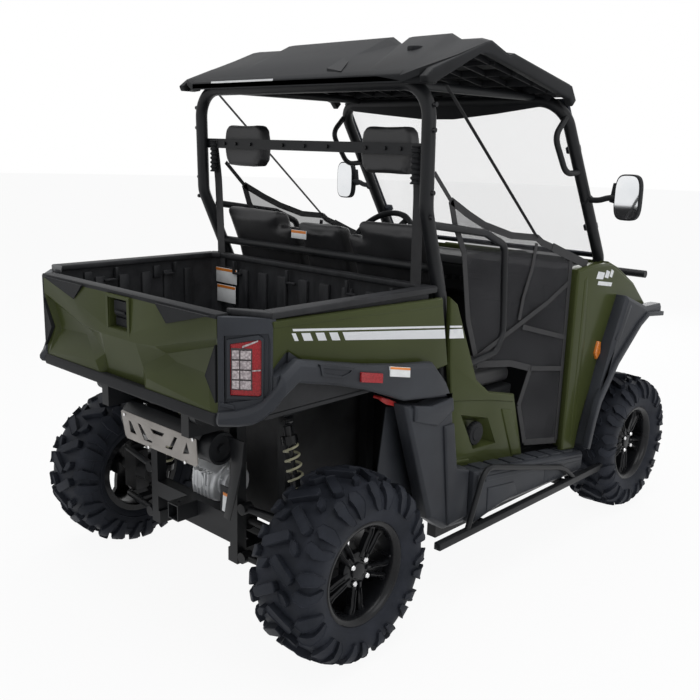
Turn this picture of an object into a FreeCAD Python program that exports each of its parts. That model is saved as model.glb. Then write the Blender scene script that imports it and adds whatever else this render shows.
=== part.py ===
import FreeCAD, Part
import math
import os
import re
import Sketcher
from FreeCAD import Placement, Rotation, Vector

# A four-wheeled side by side utility vehicle with a cabin for three and a tipping load bed.
# +X points forward, +Y to the left and +Z up, and the ground is at Z 0. The pieces are laid
# out from the ground under the rear axle, and each node is then shifted so that the origin
# lies under the middle of the whole vehicle. Sizes are in millimetres.
SIZES = (
    # The stance sets every place: along from wheelbase, across from body_half, up from tyre_radius.
    # Outlines of the body are shares of wheelbase, body_half and rail_high.
    ("wheelbase", 1864),
    ("body_half", 620),
    ("tyre_radius", 317.5),
    ("rail_high", "tyre_radius * 3.700787"),
    ("tail_reach", "wheelbase * 0.218884"),
    ("nose_reach", "wheelbase * 0.289700"),
    # Wheels
    ("rear_tyre_wide", 260),
    ("front_tyre_wide", 240),
    ("rear_wheel_out", "body_half * 1.012903"),
    ("front_wheel_out", "body_half * 1.017742"),
    ("rim_radius", "tyre_radius * 0.498898"),
    ("rim_wall", 12),
    ("hub_radius", 56),
    ("hub_deep", 22),
    ("hub_recess", 60),
    ("hub_floor", 6),
    ("sleeve_radius", 34),
    ("sleeve_long", 60),
    ("spoke_wide", 17),
    ("spoke_spread", 34),
    ("spoke_deep", 22),
    ("spoke_bite", 3),
    ("cap_radius", 24),
    ("cap_high", 9),
    ("axle_radius", 14),
    # Clearances: on running shafts, at seats that meet, and beside pins
    ("shaft_slack", 0.05),
    ("seat_gap", 0.3),
    ("pin_gap", 3),
    # Suspension, steering and drive
    ("knuckle_wide", 80),
    ("knuckle_deep", 60),
    ("kingpin_out", "body_half * 0.903226"),
    ("kingpin_radius", 10),
    ("pivot_drop", "tyre_radius * 0.308661"),
    ("eye_radius", 24),
    ("eye_high", 20),
    ("arm_radius", 13),
    ("arm_spread", 110),
    ("arm_foot_spread", 90),
    ("arm_foot", 16),
    ("arm_low", "tyre_radius * 0.787402"),
    ("arm_high", "tyre_radius * 1.354331"),
    ("bush_radius", 20),
    ("shock_along", 41),
    ("shock_low_out", "body_half * 0.693548"),
    ("shock_high_out", "body_half * 0.500000"),
    ("shock_foot", "tyre_radius * 0.787402"),
    ("shock_radius", 16),
    ("spring_radius", 25),
    ("spring_seat_thick", 12),
    ("half_shaft_radius", 13),
    ("boot_radius", 34),
    ("boot_long", 70),
    ("steer_room", 16),
    ("case_long", 180),
    ("case_half", "body_half * 0.161290"),
    ("case_high", "tyre_radius * 0.472441"),
    ("rear_case_high", 240),
    ("prop_high", "tyre_radius * 1.007874"),
    ("engine_back", "wheelbase * 0.080472"),
    ("engine_long", "wheelbase * 0.219957"),
    ("engine_half", "body_half * 0.306452"),
    ("engine_high", "tyre_radius * 1.354331"),
    ("muffler_back", "arm_spread + tower_wide / 2 + muffler_radius + gate_gap * 2"),
    ("muffler_high", "tyre_radius * 2.078740"),
    ("muffler_half", "body_half * 0.411290"),
    ("muffler_radius", 56),
    # Frame and cage
    ("rail_out", "body_half * 0.411290"),
    ("rail_wide", 50),
    ("rail_tail", "wheelbase * 0.069742"),
    ("rail_nose", "wheelbase * 0.110515"),
    ("frame_low", "tyre_radius * 0.692913"),
    ("tower_wide", 40),
    ("tower_plate", 25),
    ("tower_high", "tyre_radius * 2.409449"),
    ("top_rail_front", "wheelbase * 0.300429"),
    ("pillar_foot_back", "wheelbase * 0.869099"),
    ("cage_foot_out", "body_half * 0.927419"),
    ("side_rail_out", "body_half * 0.964516"),
    ("side_rail_back", "wheelbase * 0.289700"),
    ("side_rail_front", "wheelbase * 0.772532"),
    ("floor_high", "tyre_radius * 1.086614"),
    ("outrigger_back", "wheelbase * 0.375536"),
    ("outrigger_front", "wheelbase * 0.697425"),
    ("hitch_reach", "wheelbase * 0.115343"),
    ("receiver_low", "tyre_radius * 1.039370"),
    ("receiver_wide", 60),
    ("receiver_bore", 51),
    ("hitch_pin_radius", 8),
    ("cage_radius", 24),
    ("cage_bend", 110),
    ("cage_out", "body_half * 0.967742"),
    ("back_hoop_along", "wheelbase * 0.206545"),
    ("front_hoop_along", "wheelbase * 0.653433"),
    ("rear_hoop_high", "tyre_radius * 5.826772"),
    ("front_hoop_high", "tyre_radius * 5.782677"),
    ("bar_radius", 16),
    ("small_tube", 14),
    ("small_bend", 45),
    ("mirror_arm_radius", 9),
    ("mirror_out", "body_half * 1.267742"),
    ("mirror_wide", 120),
    ("mirror_along", "wheelbase * 0.775215"),
    ("mirror_up", "tyre_radius * 4.566929"),
    ("mirror_thick", 30),
    ("mirror_high", 190),
    # Panels
    ("skin", 20),
    ("bed_side_in", "body_half * 0.967742"),
    ("flare_deep", 58),
    ("band_high", 45),
    ("roof_half", "body_half * 1.038710"),
    ("roof_skin", 22),
    ("roof_foot_high", 27),
    ("net_thick", 4),
    ("corner_low", "tyre_radius * 2.683465"),
    ("lamp_low", "tyre_radius * 2.944882"),
    ("lamp_high", "tyre_radius * 3.433071"),
    ("fender_out", "body_half * 1.064516"),
    ("front_flare_out", "body_half * 1.177419"),
    ("hood_half", "body_half * 0.725806"),
    ("sill_out", "body_half * 1.129032"),
    ("filler_along", "wheelbase * 0.398605"),
    ("filler_high", "tyre_radius * 1.855118"),
    ("filler_radius", 48),
    ("fascia_ahead", "wheelbase * 0.142704"),
    ("fascia_thick", 60),
    ("bumper_radius", 19),
    ("step_back", "wheelbase * 0.209227"),
    ("step_front", "wheelbase * 0.804721"),
    ("step_out", "body_half * 1.233871"),
    ("step_wide", 30),
    ("step_low", "tyre_radius * 0.771654"),
    # Load bed, its subframe and the tailgate
    ("bed_floor", "tyre_radius * 2.714961"),
    ("deck_thick", 20),
    ("rim_low", "tyre_radius * 3.662992"),
    ("sub_rail_front", "wheelbase * 0.214592"),
    ("sub_cross_back", "wheelbase * -0.107296"),
    ("sub_cross_front", "wheelbase * 0.193133"),
    ("hinge_back", "wheelbase * 0.160944"),
    ("hinge_high", "tyre_radius * 2.519685"),
    ("hinge_radius", 12),
    ("ear_radius", 26),
    ("ear_wide", 30),
    ("gate_back", "wheelbase * 0.214592"),
    ("gate_low", "tyre_radius * 2.699213"),
    ("gate_half", "body_half * 0.801613"),
    ("gate_thick", 42),
    ("strip_deep", 8),
    ("gate_gap", 5),
    ("gate_pivot_back", "gate_back - gate_thick - gate_bite * 2"),
    ("gate_pivot_high", "gate_low - gate_pin - gate_wall + gate_bite"),
    ("gate_bite", 1),
    ("gate_pin", 6),
    ("gate_wall", 5),
    ("gate_ear_radius", 8),
    ("gate_ear_out", "body_half * 0.435484"),
    ("gate_ear_wide", 20),
    ("gate_barrel", 50),
    ("ear_gap", 0.5),
    # Cabin
    ("floor_half", "body_half * 0.919355"),
    ("base_half", "body_half * 0.879032"),
    ("seat_in", "body_half * 0.225806"),
    ("seat_out", "body_half * 0.879032"),
    ("cushion_back", "wheelbase * 0.389109"),
    ("cushion_front", "wheelbase * 0.590129"),
    ("cushion_low", "tyre_radius * 2.252913"),
    ("cushion_thick", "tyre_radius * 0.283465"),
    ("headrest_in", "body_half * 0.419355"),
    ("headrest_out", "body_half * 0.806452"),
    ("belt_radius", 12),
    ("belt_along", "wheelbase * 0.209764"),
    ("belt_low", "tyre_radius * 4.588976"),
    ("belt_high", "tyre_radius * 5.051969"),
    ("steer_along", "wheelbase * 0.638412"),
    ("steer_out", "body_half * 0.483871"),
    ("steer_up", "tyre_radius * 3.779528"),
    ("steer_radius", 172),
    ("grip_radius", 13),
    ("spoke_radius", 8),
    ("boss_radius", 30),
    ("boss_high", 30),
    ("steer_shaft_radius", 11),
    ("column_radius", 18),
    ("column_start", 45),
    ("column_long", 240),
)
ALIASES = {alias for alias, size in SIZES}

doc = FreeCAD.newDocument("SideBySide")
sheet = doc.addObject("Spreadsheet::Sheet", "Sizes")
for row, (alias, size) in enumerate(SIZES, start=1):
    sheet.set(f"A{row}", alias.replace("_", " "))
    sheet.setAlias(f"B{row}", alias)
for row, (alias, size) in enumerate(SIZES, start=1):
    sheet.set(f"B{row}", f"={size}")
doc.recompute()


# Helpers that bind the pieces to the sheet
def mm(alias):
    return float(sheet.get(alias))


def cells(text):
    return re.sub(
        "[a-z_]+",
        lambda word: "Sizes." + word[0] if word[0] in ALIASES else word[0],
        text,
    )


def block(name, along, across, up):
    """A box between two distances on each axis."""
    box = doc.addObject("Part::Box", name)
    spans = (("Length", "x", along), ("Width", "y", across), ("Height", "z", up))
    for edge, axis, (low, high) in spans:
        box.setExpression(edge, cells(f"({high}) - ({low})"))
        box.setExpression(f"Placement.Base.{axis}", cells(low))
    return box


TURNS = {"x": Rotation(Vector(0, 1, 0), 90), "y": Rotation(Vector(1, 0, 0), -90), "z": Rotation()}


def rod(name, axis, centre, span, radius):
    """A round bar along an axis, from one distance to another, with its line through centre."""
    bar = doc.addObject("Part::Cylinder", name)
    low, high = span
    bar.Placement = Placement(Vector(), TURNS[axis])
    bar.setExpression("Radius", cells(radius))
    bar.setExpression("Height", cells(f"({high}) - ({low})"))
    places = dict(zip((letter for letter in "xyz" if letter != axis), centre))
    places[axis] = low
    for letter, place in places.items():
        bar.setExpression(f"Placement.Base.{letter}", cells(place))
    return bar


SPANS = {
    "XZ": ("wheelbase", "rail_high"),
    "XY": ("wheelbase", "body_half"),
    "YZ": ("body_half", "rail_high"),
}


def outline(body, name, plane, shares, low, spans=None):
    """A closed sketch whose corners are shares of two sizes; XZ looks at the right side."""
    sketch = body.newObject("Sketcher::SketchObject", name)
    origin = next(part for part in body.Origin.OriginFeatures if part.Role == f"{plane}_Plane")
    sketch.AttachmentSupport = [(origin, "")]
    sketch.MapMode = "FlatFace"
    sketch.setExpression("AttachmentOffset.Base.z", cells(low))
    spans = spans or SPANS[plane]
    sizes = [mm(span) for span in spans]
    corners = [Vector(share[0] * sizes[0], share[1] * sizes[1], 0) for share in shares]
    for start, end in zip(corners, corners[1:] + corners[:1]):
        sketch.addGeometry(Part.LineSegment(start, end), False)
    for index, share in enumerate(shares):
        following = (index + 1) % len(shares)
        sketch.addConstraint(Sketcher.Constraint("Coincident", index, 2, following, 1))
        for kind, part, span, place in zip(
            ("DistanceX", "DistanceY"),
            share,
            spans,
            corners[index][:2],
        ):
            line = sketch.addConstraint(Sketcher.Constraint(kind, -1, 1, index, 1, place))
            sketch.setExpression(f"Constraints[{line}]", cells(f"{part} * {span}"))
    return sketch


def plate(name, plane, shares, low, high, spans=None):
    """A panel: an outline padded from one distance to another."""
    body = doc.addObject("PartDesign::Body", name)
    sketch = outline(body, f"{name}_outline", plane, shares, low, spans)
    pad = body.newObject("PartDesign::Pad", f"{name}_pad")
    pad.Profile = sketch
    pad.setExpression("Length", cells(f"({high}) - ({low})"))
    return body


def lathe(name, shares, spans):
    """A ring or disc turned about the Y axis, outlined across and outwards."""
    body = doc.addObject("PartDesign::Body", name)
    sketch = outline(body, f"{name}_outline", "YZ", shares, "0", spans)
    turned = body.newObject("PartDesign::Revolution", f"{name}_turned")
    turned.Profile = sketch
    turned.ReferenceAxis = (sketch, ["H_Axis"])
    return body


def spot(shares):
    """A point from its shares of the wheelbase, the body's half width and the rail's height."""
    along, across, up = shares
    return Vector(along * mm("wheelbase"), across * mm("body_half"), up * mm("rail_high"))


def bent_wire(points, bend):
    """Straight runs joined by tangent arcs."""
    edges = []
    start = points[0]
    for before, corner, after in zip(points, points[1:], points[2:]):
        to_before = (before - corner).normalize()
        to_after = (after - corner).normalize()
        half = to_before.getAngle(to_after) / 2
        reach = bend / math.tan(half)
        middle = (to_before + to_after).normalize() * (bend / math.sin(half) - bend)
        first = corner + to_before * reach
        last = corner + to_after * reach
        edges.append(Part.LineSegment(start, first).toShape())
        edges.append(Part.Arc(first, corner + middle, last).toShape())
        start = last
    edges.append(Part.LineSegment(start, points[-1]).toShape())
    return Part.Wire(edges)


def tube(name, points, radius, bend="small_bend"):
    """A bent tube along points, filled as one solid."""
    path = doc.addObject("Part::Feature", f"{name}_path")
    path.Shape = bent_wire(points, mm(bend))
    ring = doc.addObject("Part::Circle", f"{name}_ring")
    ring.setExpression("Radius", cells(radius))
    ring.Placement = Placement(points[0], Rotation(Vector(0, 0, 1), points[1] - points[0]))
    swept = doc.addObject("Part::Sweep", name)
    swept.Sections = [ring]
    swept.Spine = (path, [])
    swept.Solid = True
    return swept


def fused(name, *items):
    joined = doc.addObject("Part::MultiFuse", name)
    joined.Shapes = list(items)
    return joined


def cut(name, base, *tools):
    tool = tools[0] if len(tools) == 1 else fused(f"{name}_tools", *tools)
    left = doc.addObject("Part::Cut", name)
    left.Base = base
    left.Tool = tool
    return left


def moved(name, item, along="0", across="0", up="0"):
    """The same piece in another place."""
    copy = doc.addObject("Part::Compound", name)
    copy.Links = [item]
    for axis, place in zip("xyz", (along, across, up)):
        copy.setExpression(f"Placement.Base.{axis}", cells(place))
    return copy


def mirrored(item):
    other = doc.addObject("Part::Mirroring", f"{item.Name}_mirrored")
    other.Source = item
    other.Normal = Vector(0, 1, 0)
    return other


def pair(item):
    return [item, mirrored(item)]


NODES = []


def node(label, *items):
    """One sub-part, shifted from the rear axle's frame to the middle of the vehicle."""
    whole = doc.addObject("Part::Compound", f"node_{label}")
    whole.Label = label
    if whole.Label != label:
        raise RuntimeError(f"two pieces are called {label}")
    whole.Links = list(items)
    whole.setExpression("Placement.Base.x", cells("(tail_reach - wheelbase - nose_reach) / 2"))
    NODES.append(whole)
    return whole


def beam(name, low, high, across, up):
    return block(name, (low, high), across, up)


# Wheels: each is a tyre on a rim with a hub sleeve that runs on the knuckle's axle
TYRE_SHARES = (
    (-0.36, 0.42), (-0.38, 0.57), (-0.475, 0.64), (-0.5, 0.76), (-0.465, 0.9), (-0.36, 1),
    (0.36, 1), (0.465, 0.9), (0.5, 0.76), (0.475, 0.64), (0.38, 0.57), (0.36, 0.42),
)
BARREL_SHARES = (
    (-0.412, 1.105), (-0.3816, 1.105), (-0.3816, 1), (0.3816, 1), (0.3816, 1.105),
    (0.412, 1.105), (0.412, 0.955), (0.36, 0.922), (-0.36, 0.922), (-0.412, 0.955),
)
SPOKES = 5
SPOKE_START = 18


def turned(name, item, angle):
    copy = doc.addObject("Part::Compound", name)
    copy.Links = [item]
    copy.Placement = Placement(Vector(), Rotation(Vector(0, 1, 0), angle))
    return copy


def wheel_pair(where, along, wide, wheel_out):
    face = f"({wide} / 2 - hub_recess)"
    carcass = lathe(f"{where}_carcass", TYRE_SHARES, (wide, "tyre_radius"))
    bead = rod(f"{where}_bead", "y", ("0", "0"), (f"-{wide}", wide), "rim_radius + seat_gap")
    tyre = cut(f"{where}_tyre", carcass, bead)
    barrel = lathe(f"{where}_barrel", BARREL_SHARES, (wide, "rim_radius"))
    hub = rod(f"{where}_hub", "y", ("0", "0"), (f"-{face}", f"hub_deep - {face}"), "hub_radius")
    sleeve = rod(
        f"{where}_sleeve",
        "y",
        ("0", "0"),
        (f"-{face}", f"sleeve_long - {face}"),
        "sleeve_radius",
    )
    cap = rod(
        f"{where}_cap",
        "y",
        ("0", "0"),
        (f"-{face} - cap_high", f"hub_deep - {face}"),
        "cap_radius",
    )
    reach = ("sleeve_radius", "rim_radius - rim_wall + spoke_bite")
    deep = (f"-{face}", f"spoke_deep - {face}")
    spokes = []
    for side, offset in (("low", "-spoke_spread"), ("high", "spoke_spread")):
        middle = f"({offset} / 2)"
        rise = (f"{middle} - spoke_wide / 2", f"{middle} + spoke_wide / 2")
        bar = block(f"{where}_{side}_spoke", reach, deep, rise)
        for turn in range(SPOKES):
            spokes.append(
                turned(f"{where}_{side}_spoke_{turn}", bar, 360 * turn / SPOKES + SPOKE_START),
            )
    solid = fused(f"{where}_rim_solid", barrel, hub, sleeve, cap, *spokes)
    bore = rod(
        f"{where}_bore", "y", ("0", "0"), (f"hub_floor - {face}", wide), "axle_radius + shaft_slack"
    )
    rim = cut(f"{where}_rim", solid, bore)
    for piece, item in (("tyre", tyre), ("rim", rim)):
        placed = moved(f"{where}_{piece}_placed", item, along, f"-{wheel_out}", "tyre_radius")
        node(f"{where}_right_{piece}", placed)
        node(f"{where}_left_{piece}", mirrored(placed))


wheel_pair("rear", "0", "rear_tyre_wide", "rear_wheel_out")
wheel_pair("front", "wheelbase", "front_tyre_wide", "front_wheel_out")


# Knuckles: a block with pins top and bottom and a stub axle for the wheel
def knuckle(where, along, wide, wheel_out):
    half_high = "(pivot_drop - arm_radius - pin_gap)"
    face = f"({wheel_out} + {wide} / 2 - hub_recess)"
    upright = block(
        f"{where}_upright",
        (f"{along} - knuckle_deep / 2", f"{along} + knuckle_deep / 2"),
        ("-kingpin_out - knuckle_wide / 2", "-kingpin_out + knuckle_wide / 2"),
        (f"tyre_radius - {half_high}", f"tyre_radius + {half_high}"),
    )
    stub = rod(
        f"{where}_stub",
        "y",
        (along, "tyre_radius"),
        (f"hub_floor + pin_gap - {face}", "-kingpin_out"),
        "axle_radius",
    )
    shoulder = rod(
        f"{where}_shoulder",
        "y",
        (along, "tyre_radius"),
        (f"sleeve_long + seat_gap - {face}", "-kingpin_out"),
        "eye_radius",
    )
    pin = rod(
        f"{where}_pin",
        "z",
        (along, "-kingpin_out"),
        ("tyre_radius - pivot_drop - eye_high / 2", "tyre_radius + pivot_drop + eye_high / 2"),
        "kingpin_radius",
    )
    return fused(f"{where}_knuckle", upright, stub, shoulder, pin)


node("rear_knuckles", *pair(knuckle("rear", "0", "rear_tyre_wide", "rear_wheel_out")))
steered = knuckle("front", "wheelbase", "front_tyre_wide", "front_wheel_out")
node("front_knuckle_right", steered)
node("front_knuckle_left", mirrored(steered))


# Suspension: two A-arms at each corner, with a sprung shock absorber on the lower one
SPRING_SHARES = (0.2, 0.86)


def arms(where, along):
    x = 0 if along == "0" else mm(along)
    made = []
    for level, sign, foot in (("lower", -1, "arm_low"), ("upper", 1, "arm_high")):
        eye_up = mm("tyre_radius") + sign * mm("pivot_drop")
        eye_text = f"tyre_radius + {sign} * pivot_drop"
        eye = rod(
            f"{where}_{level}_eye",
            "z",
            (along, "-kingpin_out"),
            (f"{eye_text} - eye_high / 2", f"{eye_text} + eye_high / 2"),
            "eye_radius",
        )
        bridge = block(
            f"{where}_{level}_bridge",
            (f"{along} - arm_foot_spread / 2", f"{along} + arm_foot_spread / 2"),
            ("-kingpin_out", "-kingpin_out + eye_radius"),
            (f"{eye_text} - eye_high / 2", f"{eye_text} + eye_high / 2"),
        )
        pieces = [eye, bridge]
        for way in (-1, 1):
            inner = Vector(
                x + way * mm("arm_spread"),
                -mm("rail_out") - mm("bush_radius"),
                mm(foot),
            )
            outer = Vector(
                x + way * mm("arm_foot_spread") / 2,
                -mm("kingpin_out") + mm("arm_foot"),
                eye_up,
            )
            pieces.append(tube(f"{where}_{level}_leg_{way + 1}", [inner, outer], "arm_radius"))
            middle = f"{along} + {way} * arm_spread"
            pieces.append(
                rod(
                    f"{where}_{level}_bush_{way + 1}",
                    "x",
                    ("-rail_out - bush_radius - seat_gap", foot),
                    (f"{middle} - tower_wide / 2", f"{middle} + tower_wide / 2"),
                    "bush_radius",
                )
            )
        if level == "lower":
            pieces.append(
                block(
                    f"{where}_spring_seat",
                    (f"{along} - arm_spread * 0.65", f"{along} + arm_spread * 0.65"),
                    ("-shock_low_out - bush_radius", "-shock_low_out + bush_radius"),
                    ("shock_foot - spring_seat_thick", "shock_foot"),
                )
            )
        eye_bore = rod(
            f"{where}_{level}_eye_bore",
            "z",
            (along, "-kingpin_out"),
            (f"{eye_text} - eye_high", f"{eye_text} + eye_high"),
            "kingpin_radius + shaft_slack",
        )
        made.append(
            cut(f"{where}_{level}_arm", fused(f"{where}_{level}_arm_solid", *pieces), eye_bore),
        )
    return made


def shock(where, along):
    x = mm("shock_along") + (0 if along == "0" else mm(along))
    low = Vector(x, -mm("shock_low_out"), mm("shock_foot") + mm("shock_radius") + mm("seat_gap"))
    reach_up = mm("tower_high") - mm("tower_plate") - mm("shock_radius") - mm("seat_gap")
    high = Vector(x, -mm("shock_high_out"), reach_up)
    span = high - low
    middle = f"{along} + shock_along"
    eyes = [
        rod(
            f"{where}_shock_{name}_eye",
            "x",
            (f"-{out}", up),
            (f"{middle} - shock_radius", f"{middle} + shock_radius"),
            "shock_radius",
        )
        for name, out, up in (
            ("low", "shock_low_out", "shock_foot + shock_radius + seat_gap"),
            ("high", "shock_high_out", "tower_high - tower_plate - shock_radius - seat_gap"),
        )
    ]
    body = tube(f"{where}_shock_body", [low, high], "shock_radius * 0.9")
    coil = tube(f"{where}_spring", [low + span * share for share in SPRING_SHARES], "spring_radius")
    return fused(f"{where}_shock", *eyes, body, coil)


all_arms = []
all_shocks = []
for where, along in (("rear", "0"), ("front", "wheelbase")):
    for arm in arms(where, along):
        all_arms += pair(arm)
    all_shocks += pair(shock(where, along))
node("suspension_arms", *all_arms)
node("shock_absorbers", *all_shocks)


# Drive: an axle gearcase between each pair of wheels, half shafts, a propeller shaft and the engine
def gearcase(where, along, high):
    return block(
        f"{where}_case",
        (f"{along} - case_long / 2", f"{along} + case_long / 2"),
        ("-case_half", "case_half"),
        ("frame_low + rail_wide + seat_gap", f"frame_low + rail_wide + {high}"),
    )


def half_shaft(where, along, outer):
    line = (along, "tyre_radius")
    bar = rod(
        f"{where}_half_shaft",
        "y",
        line,
        (f"-{outer}", "-case_half - seat_gap"),
        "half_shaft_radius",
    )
    outer_boot = rod(
        f"{where}_outer_boot",
        "y",
        line,
        (f"-{outer}", f"boot_long - {outer}"),
        "boot_radius",
    )
    inner_boot = rod(
        f"{where}_inner_boot", "y", line, (
            "-case_half - boot_long",
            "-case_half - seat_gap",
        ), "boot_radius"
    )
    return fused(f"{where}_shaft", bar, outer_boot, inner_boot)


node(
    "gearcases",
    gearcase("rear", "0", "rear_case_high"),
    gearcase("front", "wheelbase", "case_high"),
)
prop_shaft = rod(
    "prop_shaft",
    "x",
    ("0", "prop_high"),
    ("engine_back + engine_long + seat_gap", "wheelbase - case_long / 2 - seat_gap"),
    "half_shaft_radius",
)
node(
    "drive_shafts",
    prop_shaft,
    *pair(half_shaft("rear", "0", "(kingpin_out - knuckle_wide / 2 - seat_gap)")),
    *pair(half_shaft("front", "wheelbase", "(kingpin_out - knuckle_wide / 2 - steer_room)")),
)
node(
    "engine_block",
    block(
        "engine",
        ("engine_back", "engine_back + engine_long"),
        ("-engine_half", "engine_half"),
        ("frame_low + rail_wide + seat_gap", "frame_low + rail_wide + engine_high"),
    ),
)
muffler_can = rod(
    "muffler_can",
    "y",
    ("-muffler_back", "muffler_high"),
    ("-muffler_half", "muffler_half"),
    "muffler_radius",
)
hangers = pair(
    block(
        "muffler_hanger",
        ("-muffler_back - spring_seat_thick", "-muffler_back + spring_seat_thick"),
        ("-rail_out", "-rail_out + tower_wide"),
        ("muffler_high", "tower_high - tower_wide - seat_gap"),
    )
)
node("muffler", fused("muffler_solid", muffler_can, *hangers))
SHIELD_SHARES = (
    (-0.3339, 0.5923), (-0.3484, 0.5209), (-0.3323, 0.5106), (0.3226, 0.5081), (0.3419, 0.5157),
    (0.3806, 0.5872), (0.3677, 0.5923),
)
node(
    "muffler_shield",
    plate(
        "shield",
        "YZ",
        SHIELD_SHARES,
        "-muffler_back - muffler_radius - net_thick - seat_gap",
        "-muffler_back - muffler_radius - seat_gap",
    ),
)

# Frame: two lower rails with cross members, four towers at each axle, side rails and top rails
FRAME_CROSS_SHARES = (-0.01, 0.032, 0.1073, 0.2682, 0.4292, 0.6438, 0.8047, 0.98, 1.02, 1.1)

rails_up = ("frame_low", "frame_low + rail_wide")
frame = pair(
    beam(
        "lower_rail",
        "-rail_tail",
        "wheelbase + rail_nose",
        ("-rail_out", "-rail_out + rail_wide"),
        rails_up,
    ),
)
for index, share in enumerate(FRAME_CROSS_SHARES):
    middle = f"{share} * wheelbase"
    frame.append(
        beam(
            f"cross_member_{index}",
            f"{middle} - tower_wide / 2",
            f"{middle} + tower_wide / 2",
            ("-rail_out + rail_wide / 2", "rail_out - rail_wide / 2"),
            rails_up,
        )
    )
post_across = ("-rail_out", "-rail_out + tower_wide")
for where, along in (("rear", "0"), ("front", "wheelbase")):
    for way in (-1, 1):
        middle = f"{along} + {way} * arm_spread"
        frame += pair(
            beam(
                f"{where}_tower_{way + 1}",
                f"{middle} - tower_wide / 2",
                f"{middle} + tower_wide / 2",
                post_across,
                ("frame_low", "tower_high"),
            )
        )
    frame += pair(
        beam(
            f"{where}_shock_plate",
            f"{along} + shock_along - spring_radius",
            f"{along} + arm_spread",
            ("-shock_high_out - shock_radius", "-rail_out + tower_wide"),
            ("tower_high - tower_plate", "tower_high"),
        )
    )
top_up = ("tower_high - tower_wide", "tower_high")
frame += pair(
    beam("rear_top_rail", "-hinge_back - ear_radius", "top_rail_front", post_across, top_up),
)
frame += pair(
    beam(
        "top_rail_post",
        "top_rail_front - tower_wide",
        "top_rail_front",
        post_across,
        ("frame_low", "tower_high"),
    ),
)
frame += pair(
    beam(
        "front_top_rail",
        "pillar_foot_back",
        "wheelbase + fascia_ahead - seat_gap",
        post_across,
        top_up,
    )
)
frame.append(
    beam(
        "pillar_beam",
        "pillar_foot_back",
        "pillar_foot_back + tower_wide",
        ("-cage_foot_out - cage_radius", "cage_foot_out + cage_radius"),
        top_up,
    )
)
frame.append(
    beam(
        "hitch_beam",
        "-rail_tail",
        "-rail_tail + tower_wide",
        ("-rail_out + tower_wide / 2", "rail_out - tower_wide / 2"),
        ("receiver_low", "receiver_low + receiver_wide"),
    )
)
side_across = ("-side_rail_out", "-side_rail_out + tower_wide")
frame += pair(
    beam(
        "side_rail",
        "side_rail_back",
        "side_rail_front",
        side_across,
        ("frame_low", "floor_high - seat_gap"),
    ),
)
for index, place in enumerate(("outrigger_back", "outrigger_front")):
    frame.append(
        beam(
            f"outrigger_{index}",
            f"{place} - tower_wide / 2",
            f"{place} + tower_wide / 2",
            ("-side_rail_out + tower_wide / 2", "side_rail_out - tower_wide / 2"),
            ("frame_low + seat_gap", "frame_low + tower_wide"),
        )
    )
hinge_line = ("-hinge_back", "hinge_high")
frame += pair(
    beam(
        "hinge_bracket",
        "-hinge_back - ear_radius",
        "-hinge_back + ear_radius",
        post_across,
        ("tower_high - tower_wide", "hinge_high + hinge_radius * 1.5"),
    )
)
frame += pair(
    rod(
        "hinge_pin",
        "y",
        hinge_line,
        ("-rail_out - ear_wide - pin_gap * 2", "-rail_out + tower_wide"),
        "hinge_radius",
    )
)
receiver = cut(
    "receiver",
    block(
        "receiver_tube",
        ("-hitch_reach", "-rail_tail + tower_wide"),
        ("-receiver_wide / 2", "receiver_wide / 2"),
        ("receiver_low", "receiver_low + receiver_wide"),
    ),
    block(
        "receiver_mouth",
        ("-hitch_reach - receiver_wide", "-rail_tail"),
        ("-receiver_bore / 2", "receiver_bore / 2"),
        (
            "receiver_low + (receiver_wide - receiver_bore) / 2",
            "receiver_low + (receiver_wide + receiver_bore) / 2",
        ),
    ),
    rod(
        "hitch_pin_hole",
        "z",
        ("-hitch_reach + receiver_wide / 2", "0"),
        ("receiver_low - receiver_wide", "receiver_low + receiver_wide * 2"),
        "hitch_pin_radius",
    ),
)
node("chassis_frame", fused("frame_solid", *frame, receiver))


# Cage: a rear hoop with its bars and roof rails, and a front hoop that carries the windshield
def both_sides(points):
    """A route that runs up the right side and comes down the left."""
    return points + [Vector(point.x, -point.y, point.z) for point in reversed(points)]


REAR_HOOP_SHARES = (
    (0.3058, -0.9113, 0.294), (0.3004, -0.9113, 0.834), (0.2763, -0.9274, 0.9787),
    (0.2119, -0.9677, 1.2289), (0.2065, -0.9677, 1.5745),
)
FRONT_HOOP_SHARES = (
    (0.8814, -0.9435, 0.6515), (0.8814, -0.9435, 0.9362), (0.8653, -0.9677, 1.0213),
    (0.6534, -0.9677, 1.5626),
)
rear_tube = tube(
    "rear_tube",
    both_sides([spot(share) for share in REAR_HOOP_SHARES]),
    "cage_radius",
    "cage_bend",
)
front_tube = tube(
    "front_tube",
    both_sides([spot(share) for share in FRONT_HOOP_SHARES]),
    "cage_radius",
    "cage_bend",
)
LOWER_BAR_SHARES = ((0.2607, -0.9484, 1.0511), (0.2607, 0.9484, 1.0511))
lower_bar = tube("lower_bar", [spot(share) for share in LOWER_BAR_SHARES], "bar_radius")
HEADREST_BAR_SHARES = ((0.2173, 1.3787), (0.2226, 1.3787), (0.2226, 1.4111), (0.2173, 1.4111))
headrest_bar = plate(
    "headrest_bar", "XZ", HEADREST_BAR_SHARES, "-cage_out", "cage_out"
)
ROOF_RAIL_SHARES = ((0.2092, -0.7581, 1.5745), (0.6404, -0.7581, 1.5745))
roof_rail = tube("roof_rail", [spot(share) for share in ROOF_RAIL_SHARES], "bar_radius")
node("rear_cage", fused("rear_cage_solid", rear_tube, lower_bar, headrest_bar, *pair(roof_rail)))
node("front_hoop", front_tube)
HIP_BAR_SHARES = (
    (0.2409, -0.9323, 1.183), (0.4195, -0.9274, 1.1438), (0.4893, -0.9274, 1.0987),
    (0.5027, -0.9274, 0.8085), (0.4785, -0.9274, 0.7464), (0.3149, -0.9274, 0.7191),
)
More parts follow.
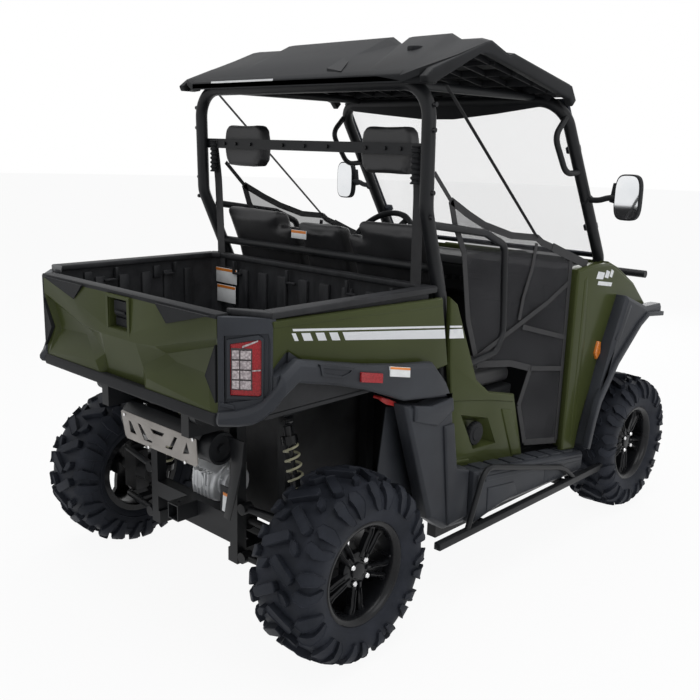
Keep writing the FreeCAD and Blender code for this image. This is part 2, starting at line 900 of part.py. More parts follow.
node("hip_bars", *pair(tube("hip_bar", [spot(share) for share in HIP_BAR_SHARES], "small_tube")))
SCREEN_SHARES = ((0.8825, 1.017), (0.8852, 1.0197), (0.6708, 1.567), (0.668, 1.5643))
node(
    "windshield",
    plate(
        "screen",
        "XZ",
        SCREEN_SHARES,
        "-cage_out",
        "cage_out",
    ),
)
ROOF_TOP_SHARES = (
    (0.1609, 1.5804), (0.3487, 1.6894), (0.6786, 1.5915), (0.6813, 1.6128), (0.3487, 1.7328),
    (0.1609, 1.6009),
)
roof_skin = plate(
    "roof_top", "XZ", ROOF_TOP_SHARES, "-roof_half", "roof_half"
)
ROOF_SKIRT_SHARES = (
    (0.1609, 1.5915), (0.3487, 1.7064), (0.6813, 1.6043), (0.677, 1.5421), (0.6438, 1.5574),
    (0.3605, 1.6681), (0.3305, 1.6681), (0.2146, 1.5685), (0.1931, 1.5685),
)
roof_skirt = plate(
    "roof_skirt",
    "XZ",
    ROOF_SKIRT_SHARES,
    "roof_half - roof_skin",
    "roof_half",
)
roof_feet = []
for name, hoop_high in (("back", "rear_hoop_high"), ("front", "front_hoop_high")):
    bar_top = f"{hoop_high} + cage_radius"
    foot = rod(
        f"roof_{name}_foot",
        "z",
        (f"{name}_hoop_along", "-roof_half / 2"),
        (f"{bar_top} + seat_gap", f"{bar_top} + roof_foot_high"),
        "bar_radius",
    )
    roof_feet += pair(foot)
node("roof_panel", fused("roof_solid", roof_skin, *pair(roof_skirt), *roof_feet))
mirror_arm = rod(
    "mirror_arm",
    "y",
    ("mirror_along + mirror_thick * 0.4", "mirror_up"),
    ("-mirror_out", "-cage_out - cage_radius - seat_gap"),
    "mirror_arm_radius",
)
mirror_head = block(
    "mirror_head",
    ("mirror_along", "mirror_along + mirror_thick"),
    ("-mirror_out - mirror_wide / 2", "-mirror_out + mirror_wide / 2"),
    ("mirror_up - mirror_high * 0.4", "mirror_up + mirror_high * 0.6"),
)
node("mirrors", *pair(fused("mirror", mirror_arm, mirror_head)))
net_in = "cage_out + cage_radius + seat_gap"
NET_SHARES = (
    (0.213, 1.3277), (0.287, 1.2443), (0.3868, 1.1787), (0.4823, 1.137), (0.5799, 1.1209),
    (0.7135, 1.0426), (0.7135, 0.366), (0.5971, 0.394), (0.5982, 0.6553), (0.4941, 0.7311),
    (0.4029, 0.7498), (0.3326, 0.8085), (0.3004, 0.9362), (0.2682, 1.1064), (0.213, 1.2766),
)
node("door_nets", *pair(plate("net", "XZ", NET_SHARES, net_in, f"{net_in} + net_thick")))

# Load bed: a tub on a steel subframe, with painted side panels, flares and lamps
DECK_SHARES = (
    (-0.1878, -0.8065), (-0.1609, -0.9673), (0.2307, -0.9673), (0.2484, -0.9032), (0.2484, 0.9032),
    (0.2307, 0.9673), (-0.1609, 0.9673), (-0.1878, 0.8065),
)
HOLLOW_SHARES = (
    (-0.2253, -0.7774), (-0.1851, -0.7774), (-0.1567, -0.9355), (0.2226, -0.9355),
    (0.2387, -0.8871), (0.2387, 0.8871), (0.2226, 0.9355), (-0.1567, 0.9355), (-0.1851, 0.7774),
    (-0.2253, 0.7774),
)
RIM_SHARES = (
    (-0.1888, -0.8065), (-0.1609, -1.0032), (0.2414, -1.0032), (0.2521, -0.9677), (0.2521, 0.9677),
    (0.2414, 1.0032), (-0.1609, 1.0032), (-0.1888, 0.8065),
)
MOUTH_SHARES = (
    (-0.2253, -0.7581), (-0.1851, -0.7581), (-0.1529, -0.9113), (0.2173, -0.9113),
    (0.2318, -0.8629), (0.2318, 0.8629), (0.2173, 0.9113), (-0.1529, 0.9113), (-0.1851, 0.7581),
    (-0.2253, 0.7581),
)
tub_outside = plate("tub_outside", "XY", DECK_SHARES, "bed_floor", "rim_low")
tub_inside = plate(
    "tub_inside", "XY", HOLLOW_SHARES, "bed_floor + deck_thick", "rim_low + deck_thick",
)
rim_outside = plate("rim_outside", "XY", RIM_SHARES, "rim_low - seat_gap", "rim_low + deck_thick")
rim_inside = plate("rim_inside", "XY", MOUTH_SHARES, "bed_floor", "rail_high + deck_thick")
tub = cut("tub", tub_outside, tub_inside)
rim_ring = cut("rim_ring", rim_outside, rim_inside)
gate_line = ("-gate_pivot_back", "gate_pivot_high")
ears = []
outer_ear = "gate_ear_out + gate_barrel + ear_gap * 2 + gate_ear_wide"
link_up = ("gate_pivot_high - gate_pin", "bed_floor + pin_gap")
for name, inner in (("inner", "gate_ear_out"), ("outer", outer_ear)):
    span = (f"-({inner}) - gate_ear_wide", f"-({inner})")
    link_along = ("-gate_pivot_back + pin_gap", "-gate_pivot_back + ear_radius")
    ears.append(block(f"gate_ear_link_{name}", link_along, span, link_up))
    ears.append(rod(f"gate_ear_{name}", "y", gate_line, span, "gate_ear_radius"))
pin_across = (f"-({outer_ear}) - gate_ear_wide", "-gate_ear_out")
ears.append(rod("gate_pin_bar", "y", gate_line, pin_across, "gate_pin"))
ear_set = fused("gate_ears", *ears)
node("bed_tub", fused("tub_solid", tub, rim_ring, *pair(ear_set)))
ear_across = ("-rail_out - ear_wide - pin_gap", "-rail_out - pin_gap")
sub_rail = beam(
    "sub_rail",
    "-hinge_back",
    "sub_rail_front",
    ear_across,
    ("tower_high + gate_gap", "bed_floor - seat_gap"),
)
sub_ear = rod("sub_ear", "y", hinge_line, ear_across, "ear_radius")
sub_bore = rod(
    "sub_bore",
    "y",
    hinge_line,
    ("-rail_out - ear_wide * 2", "-rail_out"),
    "hinge_radius + shaft_slack",
)
sub_side = cut("sub_side", fused("sub_side_solid", sub_rail, sub_ear), sub_bore)
sub_cross = [
    beam(
        f"sub_cross_{index}",
        f"{place} - ear_wide / 2",
        f"{place} + ear_wide / 2",
        ("-rail_out - pin_gap * 2", "rail_out + pin_gap * 2"),
        ("bed_floor - ear_wide", "bed_floor - seat_gap"),
    )
    for index, place in enumerate(("sub_cross_back", "sub_cross_front"))
]
node("bed_subframe", fused("subframe_solid", *pair(sub_side), *sub_cross))
BED_SIDE_SHARES = (
    (-0.1609, 0.9872), (0.2618, 0.9711), (0.2881, 0.76), (0.2253, 0.7489), (-0.0805, 0.8511),
    (-0.1288, 0.9021), (-0.1609, 0.8596),
)
node("bed_side_panels", *pair(plate("bed_side", "XZ", BED_SIDE_SHARES, "bed_side_in", "body_half")))
BED_FLARE_SHARES = (
    (-0.1609, 0.766), (-0.1202, 0.8323), (-0.0418, 0.7991), (0.0338, 0.7651), (0.1325, 0.7013),
    (0.1851, 0.68), (0.2559, 0.6919), (0.2548, 0.714), (0.2221, 0.7702), (0.1448, 0.7872),
    (-0.0032, 0.8443), (-0.1352, 0.8894), (-0.1609, 0.8383),
)
flare = plate("bed_flare", "XZ", BED_FLARE_SHARES, "body_half + seat_gap", "body_half + flare_deep")
LAMP_CORNER_SHARES = ((-0.2157, -0.8097), (-0.1626, -1.0032), (-0.1612, -0.9679), (-0.188, -0.8071))
lamp_corner = plate("lamp_corner", "XY", LAMP_CORNER_SHARES, "corner_low", "rim_low - pin_gap")
CORNER_BAND_SHARES = (
    (-0.2157, -0.8097), (-0.2189, -0.9677), (-0.1797, -1.0726), (-0.1556, -1.0935),
    (-0.1556, -1.0005), (-0.1626, -1.0032),
)
band = plate("corner_band", "XY", CORNER_BAND_SHARES, "corner_low", "corner_low + band_high")
node("bed_flares", *pair(fused("flare_solid", flare, lamp_corner, band)))
TAIL_LAMP_SHARES = ((-0.2051, -0.8505), (-0.1681, -0.9844), (-0.1719, -0.9935), (-0.209, -0.8597))
node("tail_lamps", *pair(plate("tail_lamp", "XY", TAIL_LAMP_SHARES, "lamp_low", "lamp_high")))

# Tailgate: it swings down and back on two pinned barrels
panel = beam(
    "gate_panel",
    "-gate_back",
    "-gate_back + gate_thick",
    ("-gate_half", "gate_half"),
    ("gate_low", "rim_low + deck_thick / 2"),
)
strip = beam(
    "gate_strip",
    "-gate_back - strip_deep",
    "-gate_back + strip_deep",
    ("-gate_half", "gate_half"),
    ("gate_low - band_high / 2", "gate_low + band_high / 2"),
)
barrel_across = (
    "-gate_ear_out - gate_ear_wide - ear_gap - gate_barrel",
    "-gate_ear_out - gate_ear_wide - ear_gap",
)
barrel = rod("gate_barrel_solid", "y", gate_line, barrel_across, "gate_pin + gate_wall")
barrel_bore = rod(
    "gate_barrel_bore",
    "y",
    gate_line,
    ("-gate_half", "-ear_gap"),
    "gate_pin + shaft_slack",
)
node(
    "tailgate_panel",
    cut("gate", fused("gate_solid", panel, strip, *pair(barrel)), *pair(barrel_bore)),
)
LATCH_SHARES = ((-0.0742, 0.8928), (0.1016, 0.8928), (0.1016, 0.9702), (-0.0742, 0.9702))
node(
    "tailgate_latch",
    plate("latch", "YZ", LATCH_SHARES, "-gate_back - spring_seat_thick", "-gate_back - seat_gap"),
)

# Body: side panels, corner and sill panels, fenders, flares, hood and front
SIDE_SHARES = (
    (0.2843, 0.9702), (0.309, 0.9455), (0.3868, 0.6877), (0.4345, 0.6323), (0.5306, 0.5957),
    (0.5805, 0.3564), (0.346, 0.4089), (0.3165, 0.4089), (0.3112, 0.4426), (0.302, 0.6809),
    (0.2924, 0.76),
)
side = plate("side", "XZ", SIDE_SHARES, "body_half - skin", "body_half")
filler_hole = rod(
    "filler_hole",
    "y",
    ("filler_along", "filler_high"),
    ("-body_half - skin", "skin - body_half * 0.9"),
    "filler_radius + seat_gap",
)
node("side_panels", cut("side_with_hole", side, filler_hole), mirrored(side))
node(
    "fuel_cap",
    rod(
        "filler_cap",
        "y",
        ("filler_along", "filler_high"),
        ("-body_half - skin / 2", "-body_half + skin"),
        "filler_radius",
    ),
)
REAR_CORNER_SHARES = (
    (0.1384, 0.6868), (0.2076, 0.6647), (0.28, 0.6723), (0.302, 0.4349), (0.3433, 0.417),
    (0.3433, 0.2298), (0.2741, 0.2409), (0.2221, 0.2996),
)
corner_panel = plate(
    "rear_corner", "XZ", REAR_CORNER_SHARES, "body_half + seat_gap", "body_half + skin * 2.5",
)
SILL_SHARES = (
    (0.346, 0.4085), (0.7833, 0.3106), (0.7806, 0.2383), (0.7361, 0.2357), (0.4506, 0.2528),
    (0.346, 0.2315),
)
sill = plate("sill", "XZ", SILL_SHARES, "side_rail_out + seat_gap", "sill_out")
node("rocker_panels", *pair(corner_panel), *pair(sill))
FENDER_SHARES = (
    (0.7151, 0.3302), (0.7226, 0.9898), (0.787, 1.0017), (0.8782, 0.9983), (0.9995, 0.9089),
    (1.0837, 0.8), (0.9818, 0.766), (0.8798, 0.6383), (0.8155, 0.5106), (0.7886, 0.4085),
    (0.7725, 0.3166),
)
fender = plate("fender", "XZ", FENDER_SHARES, "fender_out - skin", "fender_out")
FENDER_SHELF_SHARES = (
    (0.9013, 0.9787), (0.9995, 0.9072), (1.0826, 0.8), (1.0773, 0.7898), (0.9952, 0.8953),
    (0.9013, 0.9677),
)
shelf = plate(
    "fender_shelf", "XZ", FENDER_SHELF_SHARES, "hood_half + seat_gap", "fender_out - skin / 2",
)
node("front_fenders", *pair(fused("fender_solid", fender, shelf)))
FRONT_FLARE_SHARES = (
    (0.7768, 0.3234), (0.794, 0.4221), (0.8128, 0.4928), (0.8809, 0.6213), (0.9828, 0.7489),
    (1.0231, 0.7787), (1.1052, 0.766), (1.1052, 0.817), (1.0231, 0.8187), (0.912, 0.8791),
    (0.8315, 0.7064), (0.7511, 0.3404),
)
node(
    "front_flares",
    *pair(
        plate("front_flare", "XZ", FRONT_FLARE_SHARES, "fender_out + seat_gap", "front_flare_out"),
    ),
)
HOOD_SHARES = (
    (0.8476, 1.0102), (0.9995, 0.9234), (1.132, 0.8383), (1.1803, 0.7489), (1.1749, 0.7353),
    (1.1255, 0.8238), (0.9968, 0.9072), (0.8476, 0.9911),
)
node("hood", plate("hood_skin", "XZ", HOOD_SHARES, "-hood_half", "hood_half"))
FASCIA_SHARES = (
    (-0.6935, 0.7336), (0.6935, 0.7336), (0.6935, 0.5787), (0.4839, 0.5532), (0.4194, 0.4085),
    (-0.4194, 0.4085), (-0.4839, 0.5532), (-0.6935, 0.5787),
)
fascia = plate(
    "fascia_skin",
    "YZ",
    FASCIA_SHARES,
    "wheelbase + fascia_ahead",
    "wheelbase + fascia_ahead + fascia_thick",
)
node("front_fascia", fascia)
HEADLAMP_SHARES = ((-0.6774, 0.7234), (-0.3871, 0.6979), (-0.3871, 0.6383), (-0.6452, 0.6298))
node(
    "headlamps",
    *pair(
        plate(
            "headlamp",
            "YZ",
            HEADLAMP_SHARES,
            "wheelbase + fascia_ahead + fascia_thick + seat_gap",
            "wheelbase + fascia_ahead + fascia_thick + skin",
        ),
    ),
)
BUMPER_SHARES = (
    (1.1129, -0.371, 0.2085), (1.2232, -0.371, 0.2468), (1.2795, -0.4032, 0.4766),
    (1.2795, -0.4032, 0.8766),
)
upright_tube = tube(
    "bumper_upright",
    [spot(share) for share in BUMPER_SHARES],
    "bumper_radius",
    "cage_bend",
)
TOP_BAR_SHARES = ((1.2795, -0.7581, 0.8851), (1.2795, 0.7581, 0.8851))
LOW_BAR_SHARES = ((1.2795, -0.4032, 0.5277), (1.2795, 0.4032, 0.5277))
top_bar = tube("bumper_top", [spot(share) for share in TOP_BAR_SHARES], "bumper_radius")
low_bar = tube("bumper_low", [spot(share) for share in LOW_BAR_SHARES], "bumper_radius")
node("front_bumper", fused("bumper_solid", *pair(upright_tube), top_bar, low_bar))
step_up = ("step_low", "step_low + step_wide")
arm_across = ("-step_out + step_wide / 2", "-side_rail_out - seat_gap")
step_bar = beam(
    "step_bar",
    "step_back",
    "step_front",
    ("-step_out", "-step_out + step_wide"),
    step_up,
)
step_arms = [
    beam(
        f"step_arm_{index}",
        f"{place} - step_wide / 2",
        f"{place} + step_wide / 2",
        arm_across,
        step_up,
    )
    for index, place in enumerate(("outrigger_back", "outrigger_front"))
]
node("side_steps", *pair(fused("step", step_bar, *step_arms)))

# Cabin: floor and firewall, seats, belts, dashboard and steering
FLOOR_SHARES = (
    (0.3219, 0.2936), (0.7779, 0.2936), (0.8004, 0.417), (0.838, 0.6128), (0.8541, 0.817),
    (0.8433, 0.817), (0.8273, 0.617), (0.7897, 0.4213), (0.7698, 0.3106), (0.3219, 0.3106),
)
node("cabin_floor", plate("floor", "XZ", FLOOR_SHARES, "-floor_half", "floor_half"))
BASE_SHARES = ((0.3326, 0.311), (0.3433, 0.6085), (0.5794, 0.6085), (0.5633, 0.311))
node("seat_base", plate("base", "XZ", BASE_SHARES, "-base_half", "base_half"))
PLACES = (
    ("right", "-seat_out", "-seat_in"),
    ("middle", "-seat_in + gate_gap", "seat_in - gate_gap"),
    ("left", "seat_in", "seat_out"),
)
cushion_up = ("cushion_low", "cushion_low + cushion_thick")
BACK_SHARES = (
    (0.2387, 1.1677), (0.2548, 1.1872), (0.2924, 1.1787), (0.3273, 1.0468), (0.3863, 0.7489),
    (0.3889, 0.617), (0.346, 0.617), (0.3219, 0.8085), (0.2747, 1.0426),
)
cushions = []
backs = []
for name, low, high in PLACES:
    cushions.append(
        beam(f"cushion_{name}", "cushion_back", "cushion_front", (low, high), cushion_up),
    )
    backs.append(plate(f"back_{name}", "XZ", BACK_SHARES, f"-({high})", f"-({low})"))
node("seat_cushions", *cushions)
node("seat_backs", *backs)
HEADREST_SHARES = (
    (0.2229, 1.3362), (0.2307, 1.3277), (0.2575, 1.3319), (0.2602, 1.4553), (0.2521, 1.4638),
    (0.2229, 1.4596),
)
node("headrests", *pair(plate("headrest", "XZ", HEADREST_SHARES, "headrest_in", "headrest_out")))
belt_line = ("belt_along", "-cage_out + cage_radius + belt_radius + seat_gap")
node(
    "seat_belts",
    *pair(rod("belt_sleeve", "z", belt_line, ("belt_low", "belt_high"), "belt_radius")),
)
DASH_SHARES = (
    (0.7135, 0.9532), (0.7242, 0.9906), (0.8475, 0.9906), (0.8541, 0.8173), (0.794, 0.8173),
    (0.7403, 0.8511),
)
dash_solid = plate(
    "dash_solid",
    "XZ",
    DASH_SHARES,
    "-floor_half + gate_gap * 2",
    "floor_half - gate_gap * 2",
)
WHEEL_TILT = -52.4
WHEEL_SPOKE_ANGLES = (90, 210, 330)


def on_column(name, item):
    """Set a piece made along Z on the steering wheel's tilted line."""
    copy = doc.addObject("Part::Compound", name)
    copy.Links = [item]
    copy.Placement = Placement(Vector(), Rotation(Vector(0, 1, 0), WHEEL_TILT))
    for axis, place in zip("xyz", ("steer_along", "steer_out", "steer_up")):
        copy.setExpression(f"Placement.Base.{axis}", cells(place))
    return copy


column_hole = rod(
    "column_hole",
    "z",
    ("0", "0"),
    ("-column_long - skin", "-column_start"),
    "column_radius + seat_gap",
)
node("dashboard", cut("dash", dash_solid, on_column("column_hole_placed", column_hole)))
column = cut(
    "column",
    rod("column_tube", "z", ("0", "0"), ("-column_long", "-column_start"), "column_radius"),
    rod(
        "column_bore",
        "z",
        ("0", "0"),
        ("-column_start * 2", "0"),
        "steer_shaft_radius + shaft_slack",
    ),
)
node("steering_column", on_column("column_placed", column))
grip = doc.addObject("Part::Torus", "grip")
grip.setExpression("Radius1", cells("steer_radius"))
grip.setExpression("Radius2", cells("grip_radius"))
boss = rod("steer_boss", "z", ("0", "0"), ("-boss_high", "0"), "boss_radius")
shaft = rod(
    "steer_shaft",
    "z",
    ("0", "0"),
    ("-column_start * 1.7", "-boss_high / 2"),
    "steer_shaft_radius",
)
arms_of_wheel = []
for angle in WHEEL_SPOKE_ANGLES:
    way = Vector(math.cos(math.radians(angle)), math.sin(math.radians(angle)), 0)
    ends = [Vector(0, 0, -mm("boss_high") / 2), way * mm("steer_radius")]
    arms_of_wheel.append(tube(f"steer_spoke_{angle}", ends, "spoke_radius"))
node(
    "steering_wheel",
    on_column("wheel_placed", fused("steer_solid", grip, boss, shaft, *arms_of_wheel)),
)


# Stop on any piece that failed, then write each node's file
doc.recompute()
for item in doc.Objects:
    if "Invalid" in item.State or "Error" in item.State:
        raise RuntimeError(f"{item.Name} failed: {item.State}")
for whole in NODES:
    if whole.Shape.isNull() or not whole.Shape.isValid():
        raise RuntimeError(f"{whole.Label} has no valid shape")
os.makedirs("parts", exist_ok=True)
for whole in NODES:
    whole.Shape.exportStep(f"parts/{whole.Label}.step")
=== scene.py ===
"""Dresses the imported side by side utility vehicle: its pieces, finishes, lights and camera."""
import math

import bmesh
import bpy
from mathutils import Matrix, Vector


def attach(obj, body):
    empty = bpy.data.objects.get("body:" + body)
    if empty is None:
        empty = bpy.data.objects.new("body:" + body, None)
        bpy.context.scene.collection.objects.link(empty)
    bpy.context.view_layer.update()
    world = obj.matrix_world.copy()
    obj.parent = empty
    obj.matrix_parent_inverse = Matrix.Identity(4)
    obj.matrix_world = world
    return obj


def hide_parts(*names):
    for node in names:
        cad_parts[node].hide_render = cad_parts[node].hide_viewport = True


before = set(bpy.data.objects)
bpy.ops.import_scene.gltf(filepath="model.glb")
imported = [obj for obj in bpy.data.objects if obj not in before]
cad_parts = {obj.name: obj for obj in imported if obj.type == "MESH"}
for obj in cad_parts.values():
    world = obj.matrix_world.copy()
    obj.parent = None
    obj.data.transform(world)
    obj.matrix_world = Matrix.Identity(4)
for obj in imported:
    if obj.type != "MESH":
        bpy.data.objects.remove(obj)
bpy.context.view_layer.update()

# Stage: a pale floor and backdrop with soft lamps above, and the camera at the photo's own place,
# behind the right rear wheel at eye height. None of it belongs to the vehicle.
scene = bpy.context.scene
scene.view_settings.view_transform = "Standard"
camera = bpy.data.objects.new("camera", bpy.data.cameras.new("camera"))
scene.collection.objects.link(camera)
scene.camera = camera
camera.data.sensor_width = 36
camera.data.lens = 44.997
turn, rise, roll = (math.radians(angle) for angle in (-46.857, 13.194, 1.532))
back = Vector((math.sin(turn) * math.cos(rise), -math.cos(turn) * math.cos(rise), math.sin(rise)))
across = (-back).cross(Vector((0, 0, 1))).normalized()
upward = across.cross(-back)
sideways = across * math.cos(roll) + upward * math.sin(roll)
overhead = upward * math.cos(roll) - across * math.sin(roll)
camera.matrix_world = Matrix.Translation((-2.905, -2.428, 1.647)) @ Matrix(
    (sideways, overhead, back)
).transposed().to_4x4()

for name, place, wide, power, look in (
    ("overhead_lamp", (-0.6, -0.4, 4.6), 4.5, 120, (0, 0, 0.8)),
    ("tail_lamp_side", (-4.6, 1.4, 2.6), 2.6, 14, (-0.6, 0, 0.8)),
    ("right_lamp", (-0.4, -5.0, 2.8), 3.0, 48, (0, 0, 0.7)),
    ("nose_lamp", (5.0, 2.2, 2.6), 3.0, 70, (0.8, 0, 0.8)),
):
    lamp = bpy.data.objects.new(name, bpy.data.lights.new(name, "AREA"))
    scene.collection.objects.link(lamp)
    lamp.data.shape = "DISK"
    lamp.data.size = wide
    lamp.data.energy = power
    aim = Vector(look) - Vector(place)
    lamp.matrix_world = Matrix.Translation(place) @ aim.to_track_quat("-Z", "Y").to_matrix().to_4x4()


class Wire:
    """A shader socket that takes part in sums."""

    def __init__(self, finish, socket):
        self.finish = finish
        self.socket = socket

    def sum(self, operation, *others):
        return self.finish.math(operation, self, *others)

    def __add__(self, other):
        return self.sum("ADD", other)

    def __sub__(self, other):
        return self.sum("SUBTRACT", other)

    def __rsub__(self, other):
        return self.finish.math("SUBTRACT", other, self)

    def __mul__(self, other):
        return self.sum("MULTIPLY", other)

    def __truediv__(self, other):
        return self.sum("DIVIDE", other)

    def __gt__(self, other):
        return self.sum("GREATER_THAN", other)

    def __lt__(self, other):
        return self.sum("LESS_THAN", other)

    __radd__ = __add__
    __rmul__ = __mul__


class Finish:
    """A material whose nodes are made one at a time and plugged into its shader by name."""

    def __init__(self, name, **fixed):
        self.material = bpy.data.materials.new(name)
        self.material.use_nodes = True
        self.tree = self.material.node_tree
        self.shader = self.tree.nodes["Principled BSDF"]
        self.plug(**fixed)
        self.places = None

    def node(self, kind, settings, *values, out=0):
        made = self.tree.nodes.new(kind)
        for key, value in settings.items():
            if key == "stops":
                ramp = made.color_ramp.elements
                for spot, (at, colour) in enumerate(value):
                    stop = ramp[spot] if spot < 2 else ramp.new(at)
                    stop.position = at
                    stop.color = (*colour, 1)
            else:
                setattr(made, key, value)
        sockets = [socket for socket in made.inputs if socket.enabled]
        for socket, value in zip(sockets, values):
            self.join(socket, value)
        outputs = [socket for socket in made.outputs if socket.enabled]
        return Wire(self, outputs[out])

    def math(self, operation, *values):
        return self.node("ShaderNodeMath", {"operation": operation}, *values)

    def cells(self, scale, feature="F1"):
        return self.node("ShaderNodeTexVoronoi", {"feature": feature}, self.where(), scale)

    def bands(self, *values):
        settings = {"wave_type": "BANDS", "bands_direction": "Z"}
        return self.node("ShaderNodeTexWave", settings, self.where(), *values)

    def join(self, socket, value):
        if isinstance(value, Wire):
            self.tree.links.new(value.socket, socket)
        elif value is not None:
            if hasattr(socket.default_value, "__len__") and len(socket.default_value) == 4:
                value = (*value, 1)[:4]
            socket.default_value = value

    def plug(self, **sockets):
        for name, value in sockets.items():
            self.join(self.shader.inputs[name.replace("_", " ")], value)

    def where(self):
        if self.places is None:
            self.places = self.node("ShaderNodeTexCoord", {}, out=3)
        return self.places

    def axes(self):
        made = self.node("ShaderNodeSeparateXYZ", {}, self.where())
        return [Wire(self, output) for output in made.socket.node.outputs]

    def noise(self, scale, detail=3.0, rough=0.5, place=None):
        return self.node("ShaderNodeTexNoise", {}, place or self.where(), scale, detail, rough)

    def ramp(self, wire, *stops):
        return self.node("ShaderNodeValToRGB", {"stops": stops}, wire)

    def blend(self, mask, first, second):
        return self.node("ShaderNodeMix", {"data_type": "RGBA"}, mask, first, second)

    def relief(self, height, strength, distance):
        bump = self.node("ShaderNodeBump", {}, strength, distance, None, height)
        self.plug(Normal=bump)

    def mottle(self, pattern, low, high, rough=None):
        """Colour that runs between two stops with a pattern, and roughness from its base and reach."""
        self.plug(Base_Color=self.ramp(pattern, low, high))
        if rough:
            self.plug(Roughness=rough[0] + pattern * rough[1])


def painted(node, finish):
    """Give a CAD node one finish all over."""
    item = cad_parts[node]
    item.data.materials.clear()
    item.data.materials.append(finish.material)


floor = Finish("pale_floor", Base_Color=(0.86, 0.86, 0.86), Roughness=0.9)
seen = sum(floor.node("ShaderNodeLightPath", {}, out=kind) for kind in (0, 3, 6))
glow = floor.node("ShaderNodeEmission", {}, (1, 1, 1), 1.0)
lit = Wire(floor, floor.shader.outputs[0])
shown = floor.node("ShaderNodeMixShader", {}, seen * 0.93, lit, glow)
floor.tree.links.new(shown.socket, floor.tree.nodes["Material Output"].inputs[0])
ground = bmesh.new()
bmesh.ops.create_circle(ground, cap_ends=True, segments=64, radius=40)
ground_mesh = bpy.data.meshes.new("floor")
ground.to_mesh(ground_mesh)
ground_item = bpy.data.objects.new("floor", ground_mesh)
ground_mesh.materials.append(floor.material)
scene.collection.objects.link(ground_item)

sky = bpy.data.worlds.new("sky")
scene.world = sky
sky.use_nodes = True
sky_path = sky.node_tree.nodes.new("ShaderNodeLightPath")
sky_seen = sky.node_tree.nodes.new("ShaderNodeMath")
sky_through = sky.node_tree.nodes.new("ShaderNodeMath")
sky.node_tree.links.new(sky_path.outputs["Is Camera Ray"], sky_seen.inputs[0])
sky.node_tree.links.new(sky_path.outputs["Is Glossy Ray"], sky_seen.inputs[1])
sky.node_tree.links.new(sky_seen.outputs[0], sky_through.inputs[0])
sky.node_tree.links.new(sky_path.outputs["Is Transmission Ray"], sky_through.inputs[1])
sky_tint = sky.node_tree.nodes.new("ShaderNodeMix")
sky_tint.data_type = "RGBA"
sky_tint.inputs["A"].default_value = (0.36, 0.37, 0.39, 1)
sky_tint.inputs["B"].default_value = (1, 1, 1, 1)
sky.node_tree.links.new(sky_through.outputs[0], sky_tint.inputs["Factor"])
sky.node_tree.links.new(sky_tint.outputs["Result"], sky.node_tree.nodes["Background"].inputs["Color"])

# Tyres: black off road rubber with open, angled lugs in twelve repeats round the tread. The
# shoulder lugs run down the sidewall. Each is moulded in one piece and grips the rim by its beads.
REAR_AXLE = -0.998
FRONT_AXLE = 1864
TYRE_RADIUS = 317.5
TREAD_RADIUS = 292
CORNERS = (
    ("rear", "right", 130, 0, -628), ("rear", "left", 130, 0, 628),
    ("front", "right", 120, FRONT_AXLE, -631), ("front", "left", 120, FRONT_AXLE, 631),
)


def place(along, across, up):
    """A point given in millimetres from the ground under the rear axle."""
    return Vector((along / 1000 + REAR_AXLE, across / 1000, up / 1000))


def corners_in(made):
    return [part for part in made if isinstance(part, bmesh.types.BMVert)]


def faces_in(made):
    return [part for part in made if isinstance(part, bmesh.types.BMFace)]


def whole(mesh):
    return mesh.verts[:] + mesh.edges[:] + mesh.faces[:]


def slide(mesh, verts, vec):
    bmesh.ops.translate(mesh, vec=vec, verts=verts)


def swing(mesh, verts, angle, axis):
    bmesh.ops.rotate(mesh, cent=(0, 0, 0), matrix=Matrix.Rotation(angle, 3, axis), verts=verts)


def bevelled(mesh, edges, offset, segments):
    bmesh.ops.bevel(
        mesh, geom=edges, offset=offset, affect="EDGES", segments=segments, profile=0.5, material=-1,
        clamp_overlap=True,
    )


def set_in(mesh, name, finish, body, *stands_for, sharp=34, finishes=()):
    """Round off a finished mesh as an object that rides on a body."""
    bmesh.ops.remove_doubles(mesh, verts=mesh.verts, dist=0.00002)
    for face in mesh.faces:
        face.smooth = True
    for edge in mesh.edges:
        edge.smooth = len(edge.link_faces) == 2 and edge.calc_face_angle(0) < math.radians(sharp)
    data = bpy.data.meshes.new(name)
    mesh.to_mesh(data)
    mesh.free()
    item = bpy.data.objects.new(name, data)
    scene.collection.objects.link(item)
    for skin in (finish, *finishes):
        data.materials.append(skin.material)
    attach(item, body)
    if stands_for:
        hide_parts(*stands_for)
    return item


def spun(mesh, section, steps=64, closed=True):
    """Turn a section about the Y axis. Its points are (along the axle, out from it) in millimetres."""
    points = [mesh.verts.new((reach / 1000, along / 1000, 0)) for along, reach in section]
    loop = points + points[:1] if closed else points
    edges = [mesh.edges.new(two) for two in zip(loop, loop[1:])]
    bmesh.ops.spin(
        mesh, geom=points + edges, cent=(0, 0, 0), axis=(0, 1, 0), angle=math.tau, steps=steps,
        use_merge=True,
    )


rubber = Finish("tyre_rubber", Roughness=0.62, Specular_IOR_Level=0.16)
dust = rubber.noise(9.0, 5.0, 0.62)
grit = rubber.noise(420.0, 2.0, 0.6)
rubber.mottle(dust, (0.32, (0.010, 0.012, 0.017)), (0.68, (0.026, 0.029, 0.038)), (0.5, 0.28))
rubber.relief(grit, 0.22, 0.0006)

